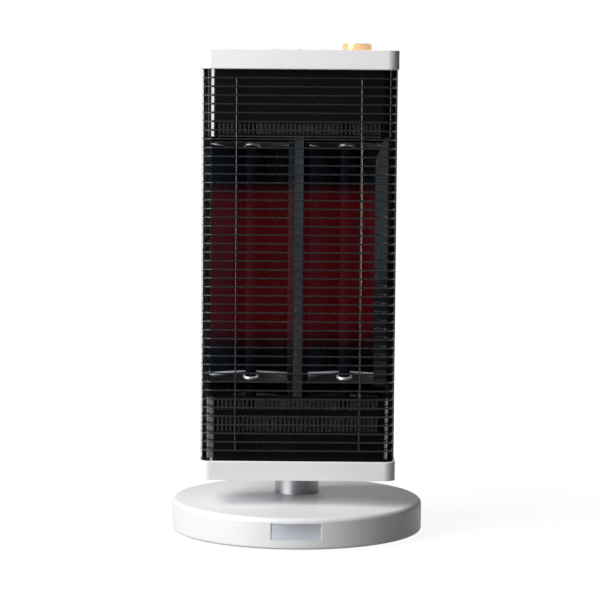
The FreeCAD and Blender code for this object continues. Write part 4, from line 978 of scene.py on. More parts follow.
@dataclass
class Stand:
    """The silver post, its yoke and the hinge pin."""

    tube_wall: float = 0.0025
    tube_round: float = 0.0006
    collar_height: float = 0.009
    collar_round: float = 0.002
    ear_width: float = 0.036
    ear_inner: float = 0.018
    ear_outer: float = 0.026
    ear_sink: float = 0.003
    ear_bow: float = 0.999
    ear_steps: int = 16
    edge_round: float = 0.0012
    edge_fold: float = 50.0
    pin_round: float = 0.0016
    pin_steps: int = 32
    steps: int = 96

    def build(self) -> None:
        """Build every piece of the stand."""
        self.post()
        self.yoke()
        self.pin()

    def post(self) -> None:
        """Build the post as a drawn tube."""
        low, high = box_ends("column")
        outer, inner = high.x, high.x - self.tube_wall
        blank = Blank()
        blank.lathe([
            (outer, low.z, self.tube_round), (outer, high.z, self.tube_round),
            (inner, high.z, 0.0), (inner, low.z, 0.0)],
            middle_of("column"), Z_AXIS, self.steps, segments=3)
        blank.tidy()
        blank.finish("post_tube", Body.STAND, SILVER_TUBE, "column")

    def yoke(self) -> None:
        """Build the collar and the two ears that hold the hinge pin."""
        low, high = box_ends("column_head")
        pin, half = middle_of("tilt_pin"), self.ear_width / 2.0
        collar_top = low.z + self.collar_height
        foot, bow = collar_top - self.ear_sink, half * self.ear_bow
        blank = Blank()
        blank.lathe([
            (0.0, collar_top, 0.0), (high.x, collar_top, self.collar_round),
            (high.x, low.z, self.tube_round), (0.0, low.z, 0.0)],
            middle_of("column_head"), Z_AXIS, self.steps)
        for side in SIDES:
            inner, outer = sorted((side * self.ear_inner, side * self.ear_outer))
            ear = blank.rounded_loop([
                (Vector((inner, pin.y - half, foot)), 0.0),
                (Vector((inner, pin.y + half, foot)), 0.0),
                (Vector((inner, pin.y + half, high.z)), bow),
                (Vector((inner, pin.y - half, high.z)), bow)], self.ear_steps)
            blank.block(ear, (outer - inner) * X_AXIS)
        blank.tidy()
        blank.soften(blank.sharp_edges(self.edge_fold), self.edge_round)
        blank.tidy()
        blank.finish("hinge_yoke", Body.STAND, SILVER_TUBE, "column_head")

    def pin(self) -> None:
        """Build the hinge pin with its rounded ends."""
        low, high = box_ends("tilt_pin")
        radius = (high.z - low.z) / 2.0
        blank = Blank()
        blank.lathe([
            (0.0, low.x, 0.0), (radius, low.x, self.pin_round), (radius, high.x, self.pin_round),
            (0.0, high.x, 0.0)], middle_of("tilt_pin"), X_AXIS, self.pin_steps)
        blank.tidy()
        blank.finish("hinge_pin", Body.STAND, BRIGHT_METAL, "tilt_pin")


@dataclass
class TiltHinge:
    """The arm that leans the head back and lets it turn."""

    barrel_half: float = 0.0179
    barrel_radius: float = 0.016
    barrel_round: float = 0.0015
    bore_radius: float = 0.00505
    neck_half_width: float = 0.013
    neck_half_height: float = 0.012
    neck_round: float = 0.004
    neck_sink: float = 0.002
    neck_gap: float = 0.004
    flange_front: float = -0.0165
    flange_back: float = -0.0095
    flange_front_round: float = 0.0008
    flange_back_round: float = 0.0025
    hub_radius: float = 0.024
    hub_round: float = 0.001
    steps: int = 64

    def build(self) -> None:
        """Build the arm as a barrel, a flange with its hub and a neck between them."""
        low, high = box_ends("tilt_arm")
        pin = middle_of("tilt_pin")
        half, flange = self.barrel_half, (high.z - low.z) / 2.0
        blank = Blank()
        blank.lathe([
            (self.bore_radius, -half, 0.0), (self.barrel_radius, -half, self.barrel_round),
            (self.barrel_radius, half, self.barrel_round), (self.bore_radius, half, 0.0)],
            pin, X_AXIS, self.steps)
        blank.lathe([
            (0.0, low.y, 0.0), (self.hub_radius, low.y, self.hub_round),
            (self.hub_radius, self.flange_front, 0.0),
            (flange, self.flange_front, self.flange_front_round),
            (flange, self.flange_back, self.flange_back_round), (0.0, self.flange_back, 0.0)],
            pin, Y_AXIS, self.steps, segments=5)
        blank.absorb(self.neck(pin))
        blank.tidy()
        blank.finish("tilt_knuckle", Body.TILT, HINGE_METAL, "tilt_arm")

    def neck(self, pin: Vector) -> Blank:
        """Make the neck from the flange to the barrel.

        Args:
            pin: middle of the hinge pin.

        Returns:
            The neck's mesh.
        """
        start = Vector((0.0, self.flange_back - self.neck_sink, pin.z))
        length = pin.y - start.y - self.bore_radius - self.neck_gap
        blank = Blank()
        section = blank.rectangle(start, self.neck_half_width * X_AXIS,
                                  self.neck_half_height * Z_AXIS, self.neck_round, segments=5)
        blank.block(section, length * Y_AXIS)
        blank.tidy()
        return blank


@dataclass
class HeadShell:
    """The white caps and the rear shell with its vents and screws."""

    front_round: float = 0.016
    rear_round: float = 0.030
    rim_round: float = 0.0022
    mouth_round: float = 0.0019
    cap_wall: float = 0.0025
    button_gap: float = 0.0003
    button_flange: float = 0.002
    shaft_hole: float = 0.0036
    shaft_steps: int = 24
    shell_wall: float = 0.0025
    shell_round: float = 0.028
    vent_pitch: float = 0.014
    vent_width: float = 0.005
    vent_height: float = 0.038
    vent_round: float = 0.4999
    vent_count: int = 11
    vent_rise: float = 0.040
    hub_hole: float = 0.025
    hub_steps: int = 64
    screw: ScrewHead = ScrewHead(0.0035)
    screw_across: float = 0.098
    screw_inset: float = 0.02
    corner_steps: int = 10

    def build(self) -> None:
        """Build every piece of the head's white housing."""
        self.cap("top_cap", "head_top", True)
        self.cap("bottom_cap", "head_bottom", False)
        self.rear()
        self.rear_screws()

    def cap(self, node: str, name: str, upward: bool) -> None:
        """Build one end cap.

        Args:
            node: frame node that it stands for.
            name: the piece's name.
            upward: whether its closed face looks up and has the controls.
        """
        low, high = box_ends(node)
        closed, mouth = (high.z, low.z) if upward else (low.z, high.z)
        blank = Blank()
        outer = blank.rounded_loop([
            (Vector((low.x, low.y, closed)), self.front_round),
            (Vector((high.x, low.y, closed)), self.front_round),
            (Vector((high.x, high.y, closed)), self.rear_round),
            (Vector((low.x, high.y, closed)), self.rear_round)], self.corner_steps)
        blank.fill(outer + (self.openings(blank, closed) if upward else []))
        blank.sweep(outer, (mouth - closed) * Z_AXIS)
        blank.soften(outer, self.rim_round, segments=4)
        blank.give_wall(Z_AXIS if upward else -Z_AXIS, self.cap_wall)
        rim = blank.edges_where(
            lambda co: abs(co.z - mouth) < CLOSE and self.on_outside(co, low, high))
        blank.soften(rim, self.mouth_round)
        blank.tidy()
        blank.finish(name, Body.HEAD, WHITE_SHELL, node)

    def openings(self, blank: Blank, level: float) -> list[BMEdge]:
        """Outline the openings for the buttons and the dial's shaft.

        Args:
            blank: mesh that takes them.
            level: height of the cap's face.

        Returns:
            The outlines' edges.
        """
        edges = []
        margin = self.button_gap - self.button_flange
        for button in ("power_button", "swing_button", "timer_button"):
            middle, high = middle_of(button), box_ends(button)[1]
            edges += blank.rectangle(Vector((middle.x, middle.y, level)),
                                     (high.x - middle.x + margin) * X_AXIS,
                                     (high.y - middle.y + margin) * Y_AXIS)
        dial = middle_of("dial_cap")
        centre = Vector((dial.x, dial.y, level))
        return edges + blank.circle(centre, Z_AXIS, self.shaft_hole, self.shaft_steps)

    def on_outside(self, place: Vector, low: Vector, high: Vector) -> bool:
        """Tell whether a point is on the outer side of a cap's wall.

        Args:
            place: the point.
            low: lowest corner of the cap.
            high: highest corner of the cap.

        Returns:
            True for a point on the outer side.
        """
        in_front = place.y < (low.y + high.y) / 2.0
        radius = self.front_round if in_front else self.rear_round
        depth = place.y - low.y if in_front else high.y - place.y
        across = max(0.0, abs(place.x) - high.x + radius)
        return math.hypot(across, max(0.0, radius - depth)) > radius - self.cap_wall / 2.0

    def rear(self) -> None:
        """Build the rear shell as a bent sheet with two rows of vents and the hub's hole."""
        low, high = box_ends("rear_shell")
        flat, half_height = high.x - self.shell_round, self.vent_height / 2.0
        blank = Blank()
        outer = blank.rectangle(Vector((0.0, high.y, (low.z + high.z) / 2.0)), flat * X_AXIS,
                                (high.z - low.z) / 2.0 * Z_AXIS)
        hub = Vector((0.0, high.y, middle_of("tilt_pin").z))
        openings = blank.circle(hub, Y_AXIS, self.hub_hole, self.hub_steps)
        inset = self.vent_rise + half_height
        for level in (low.z + inset, high.z - inset):
            for index in range(self.vent_count):
                across = (index - (self.vent_count - 1) / 2.0) * self.vent_pitch
                openings += blank.rectangle(
                    Vector((across, high.y, level)), self.vent_width / 2.0 * X_AXIS,
                    half_height * Z_AXIS, self.vent_width * self.vent_round)
        blank.fill(outer + openings)
        for side in SIDES:
            edge = [item for item in outer
                    if all(abs(vert.co.x - side * flat) < CLOSE for vert in item.verts)]
            hinge = Vector((side * flat, high.y - self.shell_round, 0.0))
            bent = blank.spin(edge, hinge, Z_AXIS, self.corner_steps, -QUARTER_TURN * side)
            blank.sweep(bent, (low.y - high.y + self.shell_round) * Y_AXIS)
        blank.give_wall(Y_AXIS, self.shell_wall)
        blank.finish("rear_housing", Body.HEAD, WHITE_SHELL, "rear_shell")

    def rear_screws(self) -> None:
        """Build the screws on the rear shell."""
        low, high = box_ends("rear_shell")
        levels = (low.z + self.screw_inset, (low.z + high.z) / 2.0, high.z - self.screw_inset)
        blank = Blank()
        for side in SIDES:
            for level in levels:
                place = Vector((side * self.screw_across, high.y, level))
                blank.absorb(self.screw.blank(place, Y_AXIS))
        blank.finish("housing_screws", Body.HEAD, BRIGHT_METAL)


@dataclass
class HeatingChamber:
    """The slotted panels, mirror troughs, end plates, rods and their rings."""

    panel_round: float = 0.011
    panel_steps: int = 10
    panel_sheet: float = 0.0015
    lip_depth: float = 0.012
    lip_round: float = 0.0016
    slot_side_margin: float = 0.0126
    slot_width: float = 0.0028
    slot_count: int = 40
    slot_height: float = 0.014
    tall_slot_height: float = 0.022
    slot_margin: float = 0.004
    slot_row_gap: float = 0.008
    focus: float = 0.020
    curve_half: float = 0.050
    curve_cuts: int = 39
    mirror_sheet: float = 0.001
    land_gap: float = 0.00005
    divider_bevel: float = 0.0013
    flank_lean: float = 0.3
    end_slope: float = 13.0
    end_gap: float = 0.0001
    rod_round: float = 0.002
    rod_steps: int = 40
    rod_hole: float = 0.0078
    rod_hole_steps: int = 32
    ring_radius: float = 0.0092
    ring_wire: float = 0.0017
    ring_sides: int = 16
    low_ring_stretch: float = 1.9
    high_ring_stretch: float = 1.2
    trim_width: float = 0.017
    trim_slope: float = 0.18
    trim_lift: float = 0.0006
    trim_taper: float = 0.030
    trim_low_share: float = 0.5
    trim_top_share: float = 0.25
    trim_side_gap: float = 0.0001
    trim_top_gap: float = 0.0005
    trim_sheet: float = 0.0004
    bead: float = 0.0009
    bead_sink: float = 0.4
    bead_rise: float = 0.3
    bead_sides: int = 12

    def build(self) -> None:
        """Build every piece of the heating side."""
        low, high = box_ends("right_reflector")
        first_row = (high.z + self.slot_margin, self.slot_height)
        self.panel("upper_panel", "upper_front", high.z, [first_row])
        top_row = low.z - self.slot_margin - self.slot_height
        low_row = top_row - self.slot_row_gap - self.tall_slot_height
        rows = [(top_row, self.slot_height), (low_row, self.tall_slot_height)]
        self.panel("lower_panel", "lower_front", low.z, rows)
        for side, label in zip(SIDES, ("left", "right")):
            self.mirror(side, label)
            self.rod(label)
        self.divider()
        self.end_plates("upper_end_plates", "upper_ends", -1.0, HIGH_END_SHEET)
        self.rings("upper_ends_rings", "upper_end_plates", -1.0)
        # The lower plates take the painted-shade copy of the end sheet.
        self.end_plates("lower_end_plates", "lower_ends", 1.0, LOW_END_PAINTED_SHADE)
        self.rings("lower_ends_rings", "lower_end_plates", 1.0)
        self.side_trim()
        self.window_bead()

    def panel(self, node: str, name: str, lip_level: float,
              rows: Sequence[tuple[float, float]]) -> None:
        """Build a black panel with rows of slots and a lip along the window.

        Args:
            node: frame node that it stands for.
            name: the piece's name.
            lip_level: height of the window's edge.
            rows: low end and height of each row of slots.
        """
        low, high = box_ends(node)
        flat, half = high.x - self.panel_round, self.slot_width / 2.0
        pitch = 2.0 * (high.x - self.slot_side_margin) / (self.slot_count - 1)
        places = [(index - (self.slot_count - 1) / 2.0) * pitch for index in range(self.slot_count)]
        reach = places[-1] + half

        def in_row(face: BMFace) -> bool:
            """Tell whether a face lies in a row of slots, in a slot or between two."""
            across, _, up = face.calc_center_median()
            return abs(across) < reach and any(row < up < row + tall for row, tall in rows)

        def in_slot(face: BMFace) -> bool:
            """Tell whether a face lies in a slot."""
            across = face.calc_center_median().x
            return in_row(face) and any(abs(across - place) < half for place in places)

        blank = Blank()
        blank.fill(blank.rectangle(Vector((0.0, low.y, (low.z + high.z) / 2.0)), flat * X_AXIS,
                                   (high.z - low.z) / 2.0 * Z_AXIS))
        for across in places:
            for side in SIDES:
                blank.split((across + side * half) * X_AXIS, X_AXIS)
        for bottom, height in rows:
            for level in (bottom, bottom + height):
                blank.split(level * Z_AXIS, Z_AXIS)
        slots = [face for face in blank.bm.faces if in_slot(face)]
        bmesh.ops.delete(blank.bm, geom=slots, context="FACES")
        # Faces in the slot rows take the lighter bar finish, a painted sheen.
        blank.mark_faces(in_row)
        for side in SIDES:
            edge = blank.edges_where(lambda co: abs(co.x - side * flat) < CLOSE)
            hinge = Vector((side * flat, low.y + self.panel_round, 0.0))
            bent = blank.spin(edge, hinge, Z_AXIS, self.panel_steps, QUARTER_TURN * side)
            blank.sweep(bent, (high.y - low.y - self.panel_round) * Y_AXIS)
        fold = blank.edges_where(
            lambda co: abs(co.z - lip_level) < CLOSE and abs(co.y - low.y) < CLOSE)
        blank.sweep(fold, self.lip_depth * Y_AXIS)
        blank.soften(fold, self.lip_round)
        blank.give_wall(-Y_AXIS, self.panel_sheet)
        blank.finish(name, Body.HEAD, BLACK_PANEL, node, second=SLOT_BARS_PAINTED_SHEEN)

    def trough(self, blank: Blank, level: float, inset: float) -> list[BMEdge]:
        """Draw the right trough's section: a straight flare, a parabola and the other flare.

        Args:
            blank: mesh that takes it.
            level: height of the section.
            inset: how far the section stays inside the mirror.

        Returns:
            The section's edges.
        """
        low, high = box_ends("right_reflector")
        front, middle = low.y, middle_of("right_heater_rod").x
        reach, half = high.x - middle, self.curve_half
        flare = (reach - half) * half / (2.0 * self.focus)
        vertex = front + flare + half ** 2 / (4.0 * self.focus)
        ends = ((-reach, front), (-half, front + flare), (half, front + flare), (reach, front))
        chain = blank.chain(Vector((middle + across, depth - inset, level))
                            for across, depth in ends)
        cut = bmesh.ops.subdivide_edges(blank.bm, edges=[chain[1]], cuts=self.curve_cuts)
        for vert in (item for item in cut["geom_inner"] if isinstance(item, BMVert)):
            vert.co.y = vertex - (vert.co.x - middle) ** 2 / (4.0 * self.focus) - inset
        curve = [item for item in cut["geom_split"] if isinstance(item, BMEdge)]
        return edges_of(verts_of([chain[0], *curve, chain[2]]))

    def mirror(self, side: float, label: str) -> None:
        """Build one mirror trough with the land that meets the divider.

        Args:
            side: -1 for the left trough and 1 for the right one.
            label: which trough it is.
        """
        node = f"{label}_reflector"
        low, high = box_ends(node)
        flank_end = middle_of("right_heater_rod").x - self.curve_half
        blank = Blank()
        section = self.trough(blank, low.z, 0.0)
        inner = min(verts_of(section), key=lambda vert: vert.co.x)
        land = blank.bm.verts.new(Vector((self.land_gap, low.y, low.z)))
        section.append(blank.bm.edges.new((land, inner)))
        blank.sweep(section, (high.z - low.z) * Z_AXIS)
        # The inner flare takes the flank finish: painted shade and a painted red reflection of the
        # rod.
        blank.mark_faces(lambda face: face.calc_center_median().x < flank_end)
        bmesh.ops.scale(blank.bm, vec=(side, 1.0, 1.0), verts=blank.bm.verts[:])
        blank.give_wall(-Y_AXIS, self.mirror_sheet)
        blank.finish(f"{label}_mirror", Body.HEAD, MIRROR_SHEET, node, SHEET_SMOOTH_ANGLE,
                     FLANK_PAINTED_SHADE_AND_GLOW)

    def rod(self, label: str) -> None:
        """Build one heating rod with rounded ends.

        Args:
            label: which rod it is.
        """
        node = f"{label}_heater_rod"
        low, high = box_ends(node)
        radius = (high.x - low.x) / 2.0
        blank = Blank()
        blank.lathe([
            (0.0, high.z, 0.0), (radius, high.z, self.rod_round), (radius, low.z, self.rod_round),
            (0.0, low.z, 0.0)], middle_of(node), Z_AXIS, self.rod_steps)
        blank.tidy()
        blank.finish(f"{label}_rod", Body.HEAD, ROD_CERAMIC, node)

    def divider(self) -> None:
        """Build the strip between the troughs with its bevelled flanks."""
        low, high = box_ends("reflector_divider")
        narrow, middle = high.x - self.divider_bevel, (low.z + high.z) / 2.0
        blank = Blank()
        front = blank.rectangle(Vector((0.0, low.y, middle)), narrow * X_AXIS,
                                (high.z - middle) * Z_AXIS)
        blank.block(front, (high.y - low.y) * Y_AXIS)
        back = [vert for vert in blank.bm.verts if abs(vert.co.y - high.y) < CLOSE]
        bmesh.ops.scale(blank.bm, vec=(high.x / narrow, 1.0, 1.0), verts=back)
        blank.tidy()
        # The divider's bevelled flanks take the same painted shade and painted red reflection.
        blank.mark_faces(lambda face: abs(face.normal.x) > self.flank_lean)
        blank.finish("mirror_divider", Body.HEAD, DIVIDER_SHEET, "reflector_divider",
                     second=FLANK_PAINTED_SHADE_AND_GLOW)

    def end_height(self, node: str, rise: float, depth: float) -> float:
        """Return the height of an end plate's face.

        Args:
            node: the plates' frame node.
            rise: 1 where the plates climb towards the back and -1 where they fall.
            depth: place on the plate from front to back.

        Returns:
            The height there.
        """
        edge = box_ends(node)[rise < 0.0].z + rise * self.mirror_sheet
        lean = rise * math.tan(math.radians(self.end_slope))
        return edge + lean * (depth - box_ends("right_reflector")[0].y)

    def end_plates(self, node: str, name: str, rise: float, finish: Finish) -> None:
        """Build the two sloped plates that close the troughs at one end.

        Args:
            node: frame node that they stand for.
            name: the piece's name.
            rise: 1 where the plates climb towards the back and -1 where they fall.
            finish: the plates' surface.
        """
        rod = middle_of("right_heater_rod")
        blank = Blank()
        section = self.trough(blank, 0.0, self.end_gap)
        ends = sorted(verts_of(section), key=lambda vert: vert.co.x)
        section.append(blank.bm.edges.new((ends[0], ends[-1])))
        hole = blank.circle(Vector((rod.x, rod.y, 0.0)), Z_AXIS, self.rod_hole, self.rod_hole_steps)
        blank.fill(section + hole)
        for vert in blank.bm.verts:
            vert.co.z = self.end_height(node, rise, vert.co.y)
        blank.give_wall(rise * Z_AXIS, self.mirror_sheet)
        blank.mirrored_copy()
        blank.finish(name, Body.HEAD, finish, node, SHEET_SMOOTH_ANGLE)

    def rings(self, name: str, node: str, rise: float) -> None:
        """Build the rolled rings that line the plates' holes for the rods.

        Args:
            name: the piece's name.
            node: the plates' frame node.
            rise: 1 where the plates climb towards the back and -1 where they fall.
        """
        # The upper rings take the darker painted-shade copy of the ring metal.
        finish, stretch = ((LOW_RING_METAL, self.low_ring_stretch) if rise > 0.0
                           else (HIGH_RING_PAINTED_SHADE, self.high_ring_stretch))
        rod = middle_of("right_heater_rod")
        centre = Vector((rod.x, rod.y, self.end_height(node, rise, rod.y)))
        axis = turn_by(rise * self.end_slope, "X") @ Z_AXIS
        blank = Blank()
        lip = blank.circle(centre + self.ring_radius * X_AXIS, Y_AXIS, self.ring_wire,
                           self.ring_sides)
        bmesh.ops.scale(blank.bm, vec=(1.0, 1.0, stretch), space=Matrix.Translation(-centre),
                        verts=verts_of(lip))
        blank.spin(lip, centre, axis, self.rod_steps)
        blank.tidy()
        blank.mirrored_copy()
        blank.finish(name, Body.HEAD, finish)

    def side_trim(self) -> None:
        """Build the polished strip along the outer edge of the right trough."""
        low, high = box_ends("right_reflector")
        outer, inner = high.x - self.trim_side_gap, high.x - self.trim_width
        front, depth = low.y - self.trim_lift, self.trim_width * self.trim_slope
        bottom = low.z + self.trim_taper * self.trim_low_share
        top, share = high.z - self.trim_top_gap, self.trim_top_share
        blank = Blank()
        blank.bm.faces.new([blank.bm.verts.new(place) for place in (
            (outer, front, bottom), (outer, front, top),
            (outer - share * self.trim_width, front + share * depth, top),
            (inner, front + depth, top - self.trim_taper), (inner, front + depth, bottom))])
        blank.give_wall(-Y_AXIS, self.trim_sheet)
        blank.finish("side_trim", Body.HEAD, MIRROR_SHEET)

    def window_bead(self) -> None:
        """Build the rounded bead along the window's upper edge."""
        edge = box_ends("right_reflector")[1]
        half = edge.x - self.panel_round
        depth = box_ends("upper_panel")[0].y + self.bead * self.bead_sink
        blank = Blank()
        ring = blank.circle(Vector((-half, depth, edge.z + self.bead * self.bead_rise)), X_AXIS,
                            self.bead, self.bead_sides)
        blank.block(ring, 2.0 * half * X_AXIS)
        blank.tidy()
        # The bead's lighter grey than the black panel is a painted highlight.
        blank.finish("window_bead", Body.HEAD, EDGE_BEAD_PAINTED_HIGHLIGHT)


@dataclass
class Guard:
    """The wire guard: level wires bent round the sides, and the uprights behind them."""

    wire: float = 0.0022
    pitch: float = 0.01178
    count: int = 44
    bend_round: float = 0.015
    bend_steps: int = 5
    wire_sides: int = 8
    upright_round: float = 0.6
    upright_sides: int = 10

    def build(self) -> None:
        """Build the wires and the uprights."""
        self.wires()
        self.uprights()

    def wires(self) -> None:
        """Build one bent wire and repeat it up the head."""
        low, high = box_ends("guard_wires")
        radius = self.wire / 2.0
        side, level = high.x - radius, low.z + radius
        bend_x, bend_y = side - self.bend_round, low.y + radius + self.bend_round
        forward = (bend_y - high.y) * Y_AXIS
        blank = Blank()
        ring = blank.circle(Vector((-side, high.y, level)), Y_AXIS, radius, self.wire_sides)
        blank.fill(ring)
        far = blank.sweep(ring, forward)
        for hinge_x, run in ((-bend_x, 2.0 * bend_x * X_AXIS), (bend_x, -forward)):
            hinge = Vector((hinge_x, bend_y, level))
            far = blank.spin(far, hinge, Z_AXIS, self.bend_steps, QUARTER_TURN)
            far = blank.sweep(far, run)
        blank.fill(far)
        blank.tidy()
        first = blank.geometry
        for index in range(1, self.count):
            copied = bmesh.ops.duplicate(blank.bm, geom=first)["geom"]
            verts = [item for item in copied if isinstance(item, BMVert)]
            bmesh.ops.translate(blank.bm, verts=verts, vec=index * self.pitch * Z_AXIS)
        blank.finish("level_wires", Body.HEAD, GUARD_METAL, "guard_wires", WIRE_SMOOTH_ANGLE)

    def uprights(self) -> None:
        """Build the two uprights with rounded ends."""
        low, high = box_ends("guard_uprights")
        radius, depth = self.wire / 2.0, (low.y + high.y) / 2.0
        bow = radius * self.upright_round
        blank = Blank()
        for side in SIDES:
            blank.lathe([
                (0.0, high.z, 0.0), (radius, high.z, bow), (radius, low.z, bow),
                (0.0, low.z, 0.0)], Vector((side * (high.x - radius), depth, 0.0)), Z_AXIS,
                self.upright_sides, segments=3)
        blank.tidy()
        blank.finish("upright_wires", Body.HEAD, GUARD_METAL, "guard_uprights", WIRE_SMOOTH_ANGLE)


@dataclass
class Controls:
    """The amber dial with its silver top, and the three push buttons."""

    dial_low: float = 0.0004
    dial_edge: float = 0.0014
    dial_foot_round: float = 0.0006
    well_depth: float = 0.001
    well_lip: float = 0.0004
    top_round: float = 0.0008
    top_sink: float = 0.0008
    dish_depth: float = 0.0006
    dish_reach: float = 0.8
    pointer_length: float = 0.007
    pointer_width: float = 0.0012
    pointer_round: float = 0.49
    pointer_margin: float = 0.0012
    pointer_sink: float = 0.0009
    pointer_rise: float = 0.0005
    button_flange: float = 0.002
    button_overlap: float = 0.0002
    button_round: float = 0.0006
    button_fold: float = 30.0
    sign_radius: float = 0.0019
    sign_stroke: float = 0.00028
    sign_sides: int = 8
    sign_steps: int = 32
    steps: int = 96

    def build(self) -> None:
        """Build the dial and the buttons."""
        self.dial()
        self.pointer()
        for sign, body in zip(Sign, (Body.POWER_KEY, Body.SWING_KEY, Body.TIMER_KEY)):
            self.button(f"{sign.name.lower()}_button", body)
            self.sign(sign, body)

    def dial(self) -> None:
        """Build the dial's amber ring and silver top."""
        centre = middle_of("dial_ring")
        high = box_ends("dial_ring")[1]
        cap_low, cap_high = box_ends("dial_cap")
        outer, inner = high.x - centre.x, cap_high.x - centre.x
        bottom, well = box_ends("top_cap")[1].z + self.dial_low, high.z - self.well_depth
        ring = Blank()
        ring.lathe([
            (0.0, well, 0.0), (inner - self.well_lip, well, 0.0),
            (inner + self.well_lip, high.z, 0.0), (outer, high.z, self.dial_edge),
            (outer, bottom, self.dial_foot_round), (0.0, bottom, 0.0)], centre, Z_AXIS, self.steps)
        ring.tidy()
        # The amber grip glows with painted light.
        ring.finish("dial_grip", Body.DIAL, DIAL_AMBER_PAINTED_GLOW, "dial_ring")
        sunk = cap_low.z - self.top_sink
        top = Blank()
        top.lathe([
            (0.0, cap_high.z - self.dish_depth, 0.0),
            (inner * self.dish_reach, cap_high.z - self.dish_depth / 2.0, 0.0),
            (inner, cap_high.z, self.top_round), (inner, sunk, 0.0), (0.0, sunk, 0.0)],
            centre, Z_AXIS, self.steps, segments=3)
        top.tidy()
        top.finish("dial_top", Body.DIAL, DIAL_SILVER, "dial_cap")

    def pointer(self) -> None:
        """Build the raised line on the dial's top that shows its setting."""
        low, high = box_ends("dial_cap")
        half_length, half_width = self.pointer_length / 2.0, self.pointer_width / 2.0
        centre = Vector(((low.x + high.x) / 2.0, low.y + self.pointer_margin + half_length,
                         high.z - self.pointer_sink))
        blank = Blank()
        line = blank.rectangle(centre, half_width * X_AXIS, half_length * Y_AXIS,
                               self.pointer_width * self.pointer_round)
        blank.block(line, (self.pointer_sink + self.pointer_rise) * Z_AXIS)
        blank.tidy()
        blank.finish("dial_pointer", Body.DIAL, DARK_PLASTIC)

    def sign(self, sign: Sign, body: Body) -> None:
        """Build the fine raised mark on a button.

        Args:
            sign: the mark.
            body: the body that it rides on.
        """
        label = sign.name.lower()
        ringed, strokes = sign.value
        middle, half = middle_of(f"{label}_button"), self.sign_stroke / 2.0
        centre = Vector((middle.x, middle.y, box_ends(f"{label}_button")[1].z))
        blank = Blank()
        if ringed:
            section = blank.circle(centre + self.sign_radius * X_AXIS, Y_AXIS, half,
                                   self.sign_sides)
            blank.spin(section, centre, Z_AXIS, self.sign_steps)
        for start_x, start_y, end_x, end_y in strokes:
            start = self.sign_radius * Vector((start_x, start_y, 0.0))
            end = self.sign_radius * Vector((end_x, end_y, 0.0))
            along, place = (end - start) / 2.0, centre + (start + end) / 2.0 - half * Z_AXIS
            bar = blank.rectangle(place, along, half * along.normalized().cross(Z_AXIS))
            blank.block(bar, self.sign_stroke * Z_AXIS)
        blank.tidy()
        blank.finish(f"{label}_sign", body, DARK_PLASTIC)

    def button(self, node: str, body: Body) -> None:
        """Build one push button with a rounded top and a flange under the cap.

        Args:
            node: frame node that it stands for.
            body: the body that it rides on.
        """
        low, high = box_ends(node)
        middle, half = middle_of(node), (high - low) / 2.0
        flange_top = low.z + self.button_flange
        blank = Blank()
        for inset, bottom, top in ((0.0, low.z, flange_top),
                                   (self.button_flange, flange_top - self.button_overlap, high.z)):
            face = blank.rectangle(Vector((middle.x, middle.y, bottom)),
                                   (half.x - inset) * X_AXIS, (half.y - inset) * Y_AXIS)
            blank.block(face, (top - bottom) * Z_AXIS)
        blank.tidy()
        rim = [edge for edge in blank.sharp_edges(self.button_fold)
               if all(abs(vert.co.z - high.z) < CLOSE for vert in edge.verts)]
        blank.soften(rim, self.button_round)
        blank.finish(f"{node}_key", body, BUTTON_PLASTIC, node)


class InnerWorks:
    """The frame nodes that show through vents and slots and keep their own shape."""

    DRESSES: tuple[tuple[Finish, tuple[str, ...]], ...] = (
        (BLACK_PANEL, ("upper_deck", "lower_deck", "left_side_frame", "right_side_frame")),
        (BRIGHT_METAL, ("rod_terminals",)),
        (GUARD_METAL, ("guard_rails", "guard_clips")),
        (HINGE_METAL, ("turntable", "roll_retainer")),
        (GEAR_PLASTIC, ("sector_gear", "drive_pinion")),
        (SHEET_STEEL, ("base_plate", "chassis_plate")),
        (IRON_WEIGHT, ("ballast_blocks",)),
        (DARK_PLASTIC, ("cord_gland", "tip_over_switch", "terminal_block", "board_spacers",
                        "dial_encoder", "button_switches", "overheat_cutout")),
        (MOTOR_METAL, ("swing_motor",)),
        (BOARD_GREEN, ("power_board", "control_board")),
    )

    def build(self) -> None:
        """Give each kept node its finish."""
        for finish, nodes in self.DRESSES:
            for node in nodes:
                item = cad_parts[node]
                if not item.material_slots:
                    item.data.materials.append(finish.material())
                for slot in item.material_slots:
                    slot.material = finish.material()
                LOG.info("%s keeps its shape in %s", node, finish.slot)


class Tone(Enum):
    """What a mirror sees in a card of the studio."""

    GREY = (0.028, 0.033, 0.036)
    DARK = (0.006, 0.007, 0.009)
    PALE = (0.42, 0.42, 0.44)
    BRIGHT = (11.4, 11.4, 11.4)

    def material(self) -> bpy.types.Material:
        """Return the even surface of the tone's cards."""
        return material_of(f"{self.name.lower()}_card", self.lay_out)

    def lay_out(self, bench: NodeBench) -> Node:
        """Make the tone's shader on a bench."""
        return bench.add("ShaderNodeEmission", {"Color": (*self.value, 1.0)})


@dataclass(frozen=True)
class Screen:
    """A wide lamp or card that looks at the heater; azimuth runs from the front to the left."""

    azimuth: float
    elevation: float
    distance: float
    width: float
    height: float
    power: float = 0.0

    def towards(self) -> Vector:
        """Work out where the screen hangs.

        Returns:
            The direction from the heater to the screen, one long.
        """
        azimuth, elevation = math.radians(self.azimuth), math.radians(self.elevation)
        return Vector((-math.sin(azimuth) * math.cos(elevation),
                       -math.cos(azimuth) * math.cos(elevation), math.sin(elevation)))


